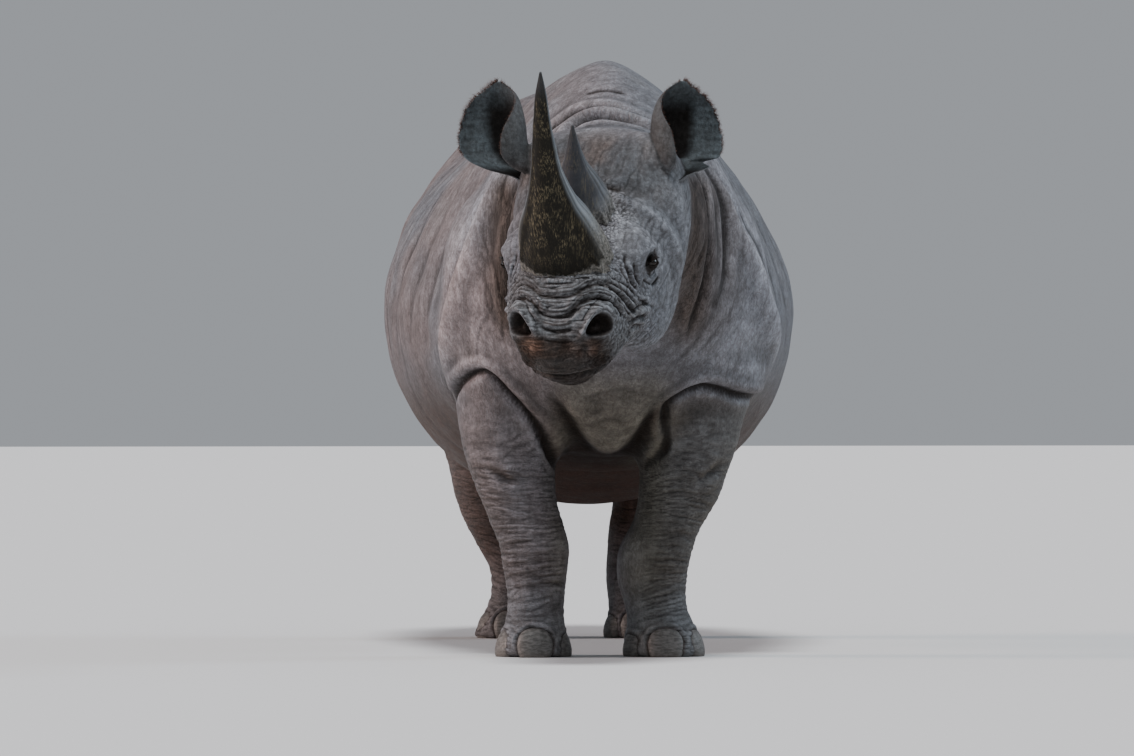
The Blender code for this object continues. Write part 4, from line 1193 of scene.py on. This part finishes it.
def build_eye(name, side, material):
    """An eyeball with a bulging cornea over a dark brown iris and a level pupil."""
    outwards, _, high = eye_axes(side)
    gaze = unit(outwards + 0.20 * np.array(AHEAD))
    level = unit(np.cross(gaze, high))
    ball = ball_rings(64, 64)
    swell = 1 + 0.045 * ramp(0.80, 0.92, ball[..., 2])
    axes = np.array([level, np.cross(level, gaze), gaze])
    made = loft(name + "_form", np.array(EYES[side]) + (ball * swell[..., None] * EYE_SIZE * 0.995) @ axes)
    x, y, z = ball.reshape(-1, 3).T
    off = np.hypot(x, y) + (z < 0)
    pupil = np.hypot(x / 0.26, y / 0.17) + 9 * (z < 0)
    rays = 0.5 + 0.5 * noise(np.stack([np.arctan2(y, x) * 6, off * 2, off * 0], axis=1), 0.5, 121, 2)
    keep_colour(made, "tone", layered(np.tile(EYE_WHITE, (len(x), 1)), (
        (EYE_RIM, ramp(0.80, 0.60, off)),
        (IRIS * (0.7 + 0.8 * rays)[:, None], ramp(0.60, 0.54, off)),
        (PUPIL, ramp(1.10, 0.92, pupil)),
    )))
    finish_piece(made, material, "eye", name)


# ---------------------------------------------------------------- hair


def tufts(name, roots, runs, droops, lengths, widths, places, material):
    """Many tapering three-sided hairs in one mesh, each with its patch of the map at its root's place."""
    steps = np.array((0.0, 0.35, 0.7, 1.0))[None, :, None]
    runs = unit(runs)
    reach = lengths[:, None, None] * steps
    line = roots[:, None] + runs[:, None] * reach + droops[:, None] * reach * steps
    across = unit(np.cross(runs, np.array((0.31, 0.17, 0.93))))
    other = np.cross(runs, across)
    thin = (widths[:, None] * np.array((1.0, 0.8, 0.5, 0.06)))[..., None]
    corners = [line + (across * math.cos(t) + other * math.sin(t))[:, None] * thin for t in (0, 2.094, 4.189)]
    index = np.arange(len(roots) * 12).reshape(-1, 4, 3)
    turned = np.roll(index, -1, axis=2)
    walls = np.stack([index[:, :-1], turned[:, :-1], turned[:, 1:], index[:, 1:]], axis=-1).reshape(-1, 4)
    ends = np.concatenate([index[:, 0, ::-1], index[:, 3]])
    data = bpy.data.meshes.new(name)
    data.from_pydata(np.stack(corners, axis=2).reshape(-1, 3).tolist(), [], walls.tolist() + ends.tolist())
    layer = data.uv_layers.new(name="OFBake")
    hair, corner = np.divmod(read(data.loops, "vertex_index", 1, np.int32).ravel(), 12)
    spread = np.stack([(corner % 3) / 3, (corner // 3) / 3], axis=1) * 0.003
    layer.data.foreach_set("uv", (places[hair] + spread).astype(np.float32).ravel())
    finish_piece(new_object(name, data), material, "skin")


def ear_fringe(name, seed, material):
    """Hair on the rim of an ear, longest at its tip and down its outer edge."""
    rng = np.random.default_rng(seed)
    count = 1500
    share = np.sort(1 - 0.78 * rng.random(count) ** 1.6)
    outer = rng.random(count) < 0.72
    sheet, _ = ear_sheet(name, share, 41)
    rows = np.arange(count)
    roots = sheet[rows, np.where(outer, 40, 0)]
    edge_out = unit(roots - sheet[rows, np.where(outer, 37, 3)])
    top = ramp(0.80, 1.0, share)[:, None]
    run = edge_out * (1 - 0.6 * top) + np.array((0, 0, 1.0)) * (0.35 + 0.9 * top)
    run = run + 0.35 * rng.normal(size=(count, 3))
    length = 0.005 + 0.013 * rng.random(count) * (0.35 + 0.65 * ramp(0.45, 0.85, share))
    length *= np.where(outer, 1.0, 0.55)
    roots = roots - edge_out * 0.0015 + 0.0015 * rng.normal(size=(count, 3))
    droop = np.array((0, 0, -0.25)) + 0.2 * rng.normal(size=(count, 3))
    across = np.where(outer, 0.47, 0.03) + (0.5 if EARS[name][0] > 0 else 0) + 0.02 * rng.random(count)
    width = 0.00022 + 0.00018 * rng.random(count)
    places = np.stack([across, 0.05 + 0.9 * share], axis=1)
    tufts(name + "_fringe", roots, run, droop, length, width, places, material)


def lashes(name, side, material):
    """Short lashes along the upper lid."""
    rng = np.random.default_rng(141)
    outwards, wide, high = eye_axes(side)
    count = 90
    way = np.linspace(-0.85, 0.85, count)
    a = way * EYE_OPEN_WIDE
    b = EYE_OPEN_UP * 1.05 * np.sqrt(1 - way**2)
    c = np.sqrt(np.clip((EYE_SIZE + LID) ** 2 - a**2 - b**2, 0, None))
    roots = np.array(EYES[side]) + np.outer(a, wide) + np.outer(b, high) + np.outer(c - 0.001, outwards)
    run = outwards + np.outer(way * 0.4, wide) + high * 0.1 + 0.16 * rng.normal(size=(count, 3))
    droop = np.tile(-0.45 * high, (count, 1))
    length = 0.009 + 0.005 * rng.random(count)
    places = np.stack([0.5 + 0.4 * way, np.full(count, 0.5)], axis=1)
    tufts(name + "_lashes", roots, run, droop, length, np.full(count, 0.00035), places, material)


def tail_bristles(skin, material):
    """Stiff bristles in a row down each edge of the tail's flattened end."""
    rng = np.random.default_rng(151)
    low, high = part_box("tail")
    points, normals = get_points(skin.data), get_normals(skin.data)
    x, y, z = points.T
    near = (y > low[1]) & (z < low[2] + 0.20) & (z > low[2] - 0.02)
    near &= np.abs(x - (low[0] + high[0]) / 2) < (high[0] - low[0]) / 2 + 0.02
    edge = near & ((np.abs(normals[:, 0]) > 0.75) | (normals[:, 2] < -0.6))
    count = 900
    picked = rng.choice(np.nonzero(edge)[0], count)
    outwards = normals[picked]
    roots = points[picked] - outwards * 0.001
    run = outwards * 0.8 + np.array((0, 0, -0.7)) + 0.15 * rng.normal(size=(count, 3))
    droop = np.array((0, 0, -0.5)) + 0.1 * rng.normal(size=(count, 3))
    share = (z[picked] - low[2]) / 0.20
    places = np.stack([np.where(outwards[:, 0] > 0, 0.7, 0.3), 0.05 + 0.85 * share], axis=1)
    length = 0.030 + 0.045 * rng.random(count)
    tufts("tail_bristles", roots, run, droop, length, np.full(count, 0.0005), places, material)


# ---------------------------------------------------------------- materials


class Shades:
    """Builds a material from its base up."""

    def __init__(self, name):
        self.made = bpy.data.materials.new(name)
        self.made.use_nodes = True
        self.tree = self.made.node_tree

    def set(self, node, inputs):
        for name, value in inputs.items():
            socket = node.inputs[name]
            if isinstance(value, bpy.types.NodeSocket):
                self.tree.links.new(value, socket)
            elif isinstance(value, (int, float)):
                socket.default_value = value
            else:
                socket.default_value = (*value, 1)[: len(socket.default_value)]

    def add(self, kind, output, inputs, **settings):
        """One output of a new node with these inputs and settings."""
        node = self.tree.nodes.new("ShaderNode" + kind)
        for name, value in settings.items():
            setattr(node, name, value)
        self.set(node, inputs)
        return node.outputs[output]

    def attribute(self, name, output="Fac"):
        return self.add("Attribute", output, {}, attribute_name=name)

    def place(self, scale=(1, 1, 1)):
        return self.add("Mapping", "Vector", {"Vector": self.add("TexCoord", "Object", {}), "Scale": scale})

    def noise(self, place, scale, detail=3, rough=0.55, distortion=0.0):
        inputs = {"Vector": place, "Scale": scale, "Detail": detail, "Roughness": rough}
        return self.add("TexNoise", "Fac", {**inputs, "Distortion": distortion})

    def cracks(self, place, scale):
        """Distance from the borders of small cells."""
        inputs = {"Vector": place, "Scale": scale}
        return self.add("TexVoronoi", "Distance", inputs, feature="DISTANCE_TO_EDGE")

    def ridges(self, scale_by_axis, scale):
        """0 along winding lines, higher between them."""
        swell = self.noise(self.place(scale_by_axis), scale, 2, 0.5, 0.6)
        return self.math("ABSOLUTE", self.math("SUBTRACT", swell, 0.5))

    def warped(self, place, scale, reach):
        """The same place shifted about by up to reach."""
        shift = self.add("TexNoise", "Color", {"Vector": place, "Scale": scale})
        scaled = self.add("VectorMath", 0, {0: shift, "Scale": reach}, operation="SCALE")
        return self.add("VectorMath", 0, {0: place, 1: scaled}, operation="ADD")

    def ramp(self, value, low, high, to_low=0.0, to_high=1.0):
        inputs = {"Value": value, "From Min": low, "From Max": high, "To Min": to_low, "To Max": to_high}
        return self.add("MapRange", "Result", inputs, interpolation_type="SMOOTHSTEP")

    def math(self, operation, one, two=0.0):
        return self.add("Math", 0, {0: one, 1: two}, operation=operation)

    def mix(self, share, one, two, blend="MIX"):
        return self.add("Mix", 2, {"Factor": share, 6: one, 7: two}, data_type="RGBA", blend_type=blend)

    def times(self, one, two, share=1.0):
        return self.mix(share, one, two, "MULTIPLY")

    def blend(self, share, one, two):
        return self.add("Mix", 0, {"Factor": share, 2: one, 3: two}, data_type="FLOAT")

    def bump(self, height, distance, strength, below=None):
        inputs = {"Height": height, "Distance": distance, "Strength": strength}
        return self.add("Bump", "Normal", inputs if below is None else {**inputs, "Normal": below})

    def finish(self, colour, roughness, **others):
        shader = self.tree.nodes["Principled BSDF"]
        self.set(shader, {"Base Color": colour, "Roughness": roughness, **others})
        return self.made


def skin_material():
    m = Shades("skin")
    fine, leg, lined = (m.attribute(name) for name in ("fine", "leg", "lined"))
    body_place = m.warped(m.place((1, 1, 0.62)), 22, 0.020)
    leg_place = m.warped(m.place((0.60, 0.60, 1.5)), 22, 0.020)
    body_cells = m.blend(leg, m.cracks(body_place, 170), m.cracks(leg_place, 130))
    face_cells = m.cracks(m.warped(m.place(), 45, 0.008), 290)
    body_folds = m.blend(leg, m.ridges((1, 1, 0.42), 80), m.ridges((0.30, 0.30, 1), 105))
    body_folds = m.blend(lined, body_folds, m.ridges((1, 1, 0.13), 105))
    mottle = m.noise(m.place(), 24, 5, 0.62, 0.4)
    streaks = m.noise(m.place((1, 1, 0.22)), 60, 4, 0.6)
    speckle = m.noise(m.place(), 85, 4, 0.65, 0.3)
    colour = m.mix(m.ramp(mottle, 0.35, 0.68), (0.77, 0.76, 0.76), (1.20, 1.20, 1.21))
    colour = m.times(m.attribute("tone", "Color"), colour)
    spots = m.mix(m.ramp(speckle, 0.36, 0.64), (0.66, 0.64, 0.64), (1.32, 1.33, 1.35))
    colour = m.mix(m.blend(fine, 0.35, 0.85), colour, m.times(colour, spots))
    colour = m.times(colour, m.mix(m.ramp(streaks, 0.30, 0.62), (0.86, 0.845, 0.835), (1.06, 1.06, 1.06)))
    # painted shade in the fine fold lines, stronger on the lined sides of the neck and weaker on the head,
    # with a little lightening between them
    deep = m.mix(lined, (0.76, 0.73, 0.72), (0.50, 0.47, 0.46))
    folds = m.mix(m.ramp(body_folds, 0.0, m.blend(leg, 0.10, 0.05)), deep, (1.04, 1.04, 1.04))
    colour = m.times(colour, folds, m.blend(fine, 1.0, 0.35))
    # painted shade in the fine cracks between the skin's cells, stronger on the head
    crack = m.blend(fine, m.ramp(body_cells, 0.0, 0.12), m.ramp(face_cells, 0.0, 0.14))
    colour = m.mix(crack, m.times(colour, m.mix(fine, (0.84, 0.82, 0.81), (0.74, 0.72, 0.71))), colour)
    rough = m.blend(m.attribute("wet"), m.ramp(mottle, 0.3, 0.7, 0.60, 0.82), 0.34)
    normal = m.bump(m.blend(fine, body_cells, face_cells), m.blend(fine, 0.0020, 0.0012), 0.75)
    normal = m.bump(body_folds, m.blend(fine, 0.0065, 0.0025), 0.8, normal)
    normal = m.bump(m.noise(m.place(), 420, 2), 0.0006, 0.6, normal)
    sheen = m.blend(m.attribute("dull"), 0.30, 0.06)
    return m.finish(colour, rough, **{"Normal": normal, "Specular IOR Level": sheen})


def horn_material(name):
    m = Shades(name)
    strand, height, worn = (m.attribute(field) for field in ("strand", "height", "worn"))
    fleck = m.noise(m.place((1, 1, 0.075)), 340, 4, 0.72)
    broad = m.noise(m.place((1, 1, 0.6)), 34, 3)
    crust = m.noise(m.place(), 120, 4, 0.7)
    dark, fibres, base = (np.array(tint) for tint in HORN_COLOURS[name])
    colour = m.mix(m.ramp(strand, 0.30, 0.70), 0.55 * fibres, 1.45 * fibres)
    crusted = m.mix(m.ramp(crust, 0.40, 0.60), 0.35 * base, base)
    colour = m.mix(m.ramp(height, 0.10, 0.34, 1.0, 0.0), colour, crusted)
    wander = m.math("SUBTRACT", m.noise(m.place(), 75, 3), 0.5)
    ragged = m.math("ADD", height, m.math("MULTIPLY", wander, 0.06))
    face = m.ramp(m.attribute("front"), 0.05, 0.45)
    worn_dark = m.math("MULTIPLY", face, m.ramp(ragged, *HORN_EDGES[name]))
    colour = m.mix(worn_dark, colour, dark)
    gold = m.math("MULTIPLY", m.ramp(fleck, 0.46, 0.68), m.ramp(broad, 0.38, 0.60, 0.08, 1.0))
    colour = m.mix(m.math("MULTIPLY", gold, m.blend(worn, 0.20, 0.75)), colour, (0.190, 0.160, 0.098))
    colour = m.mix(m.ramp(height, 0.85, 0.97, 0.0, 0.65), colour, (0.040, 0.042, 0.045))
    normal = m.bump(m.noise(m.place((1, 1, 0.12)), 300, 3, 0.6), 0.0012, 0.8)
    normal = m.bump(fleck, 0.0010, 0.5, normal)
    normal = m.bump(crust, m.ramp(height, 0.08, 0.22, 0.0050, 0.0), 0.8, normal)
    return m.finish(colour, m.blend(worn, 0.66, 0.56), **{"Normal": normal, "Specular IOR Level": 0.14})


def nail_material():
    m = Shades("nail")
    bands = m.noise(m.place((1, 1, 3)), 60, 3, 0.6)
    lines = m.noise(m.place((1, 1, 0.1)), 260, 3, 0.6)
    colour = m.mix(m.ramp(bands, 0.35, 0.65), (0.060, 0.056, 0.052), (0.130, 0.124, 0.118))
    colour = m.mix(m.ramp(m.attribute("height"), -0.9, -0.2, 0.55, 0.0), colour, (0.070, 0.055, 0.042))
    normal = m.bump(bands, 0.0010, 0.6, m.bump(lines, 0.0010, 0.8))
    return m.finish(colour, m.ramp(lines, 0.3, 0.7, 0.45, 0.70), Normal=normal)


def eye_material():
    m = Shades("eye")
    vein = m.noise(m.place(), 500, 3)
    tone = m.attribute("tone", "Color")
    colour = m.mix(0.25, tone, m.mix(m.ramp(vein, 0.4, 0.7), tone, (0.030, 0.018, 0.014)))
    gloss = {"Specular IOR Level": 0.22, "Coat Weight": 0.25, "Coat Roughness": 0.02}
    return m.finish(colour, m.ramp(vein, 0.3, 0.7, 0.06, 0.16), **gloss)


def hair_material(name, dark, light):
    m = Shades(name)
    shade = m.noise(m.place(), 220, 2)
    return m.finish(m.mix(m.ramp(shade, 0.35, 0.65), dark, light), m.ramp(shade, 0.3, 0.7, 0.45, 0.65))


# ---------------------------------------------------------------- stage, lights and camera


def build_stage():
    size = 30
    corners = [(-size, -size, 0), (size, -size, 0), (size, size, 0), (-size, size, 0)]
    floor = bpy.data.meshes.new("floor")
    floor.from_pydata(corners, [], [(0, 1, 2, 3)])
    ground = new_object("floor", floor)
    ground.data.materials.append(Shades("floor").finish((0.62, 0.62, 0.62), 0.9))
    world = bpy.data.worlds.new("studio")
    world.use_nodes = True
    background = world.node_tree.nodes["Background"]
    background.inputs["Color"].default_value = (0.80, 0.84, 0.90, 1)
    background.inputs["Strength"].default_value = 0.42
    bpy.context.scene.world = world


def sun(name, source, spread, power, colour):
    """Even light from the direction of source, with shadows as soft as its spread in degrees."""
    light = bpy.data.lights.new(name, "SUN")
    light.angle = math.radians(spread)
    light.energy = power
    light.color = colour
    new_object(name, light).rotation_euler = (-Vector(source)).to_track_quat("-Z", "Y").to_euler()


def build_camera():
    azimuth, elevation, distance = math.radians(-3.7), math.radians(0.7), 30.0
    aim = Vector((-0.1148, -0.4476, 0.737))
    data = bpy.data.cameras.new("camera")
    data.lens = 359.4
    data.sensor_width = 36
    data.clip_end = 200
    camera = new_object("camera", data)
    level = math.cos(elevation)
    back = Vector((math.sin(azimuth) * level, -math.cos(azimuth) * level, math.sin(elevation)))
    camera.location = aim + back * distance
    camera.rotation_euler = (-back).to_track_quat("-Z", "Y").to_euler()
    bpy.context.scene.camera = camera


# ---------------------------------------------------------------- build

skin = build_skin()
for horn in HORNS:
    build_horn(horn)
horny = nail_material()
for nail in NAILS:
    build_nail(nail, horny)
glossy = eye_material()
build_eye("eye_left", 1, glossy)
build_eye("eye_right", -1, glossy)
hair = hair_material("hair", (0.030, 0.016, 0.012), (0.170, 0.078, 0.054))
lash = hair_material("lash", (0.006, 0.004, 0.004), (0.024, 0.015, 0.012))
ear_fringe("ear_left", 131, hair)
ear_fringe("ear_right", 132, hair)
lashes("left", 1, lash)
lashes("right", -1, lash)
tail_bristles(skin, hair)

build_stage()
sun("key", (-0.10, -0.80, 1.9), 14, 3.1, (0.96, 0.98, 1.0))
sun("warm_side", (-1.7, 0.15, 0.55), 14, 2.3, (1.0, 0.76, 0.68))
sun("cool_side", (1.7, 0.35, 0.85), 16, 0.95, (0.72, 0.86, 1.0))
build_camera()
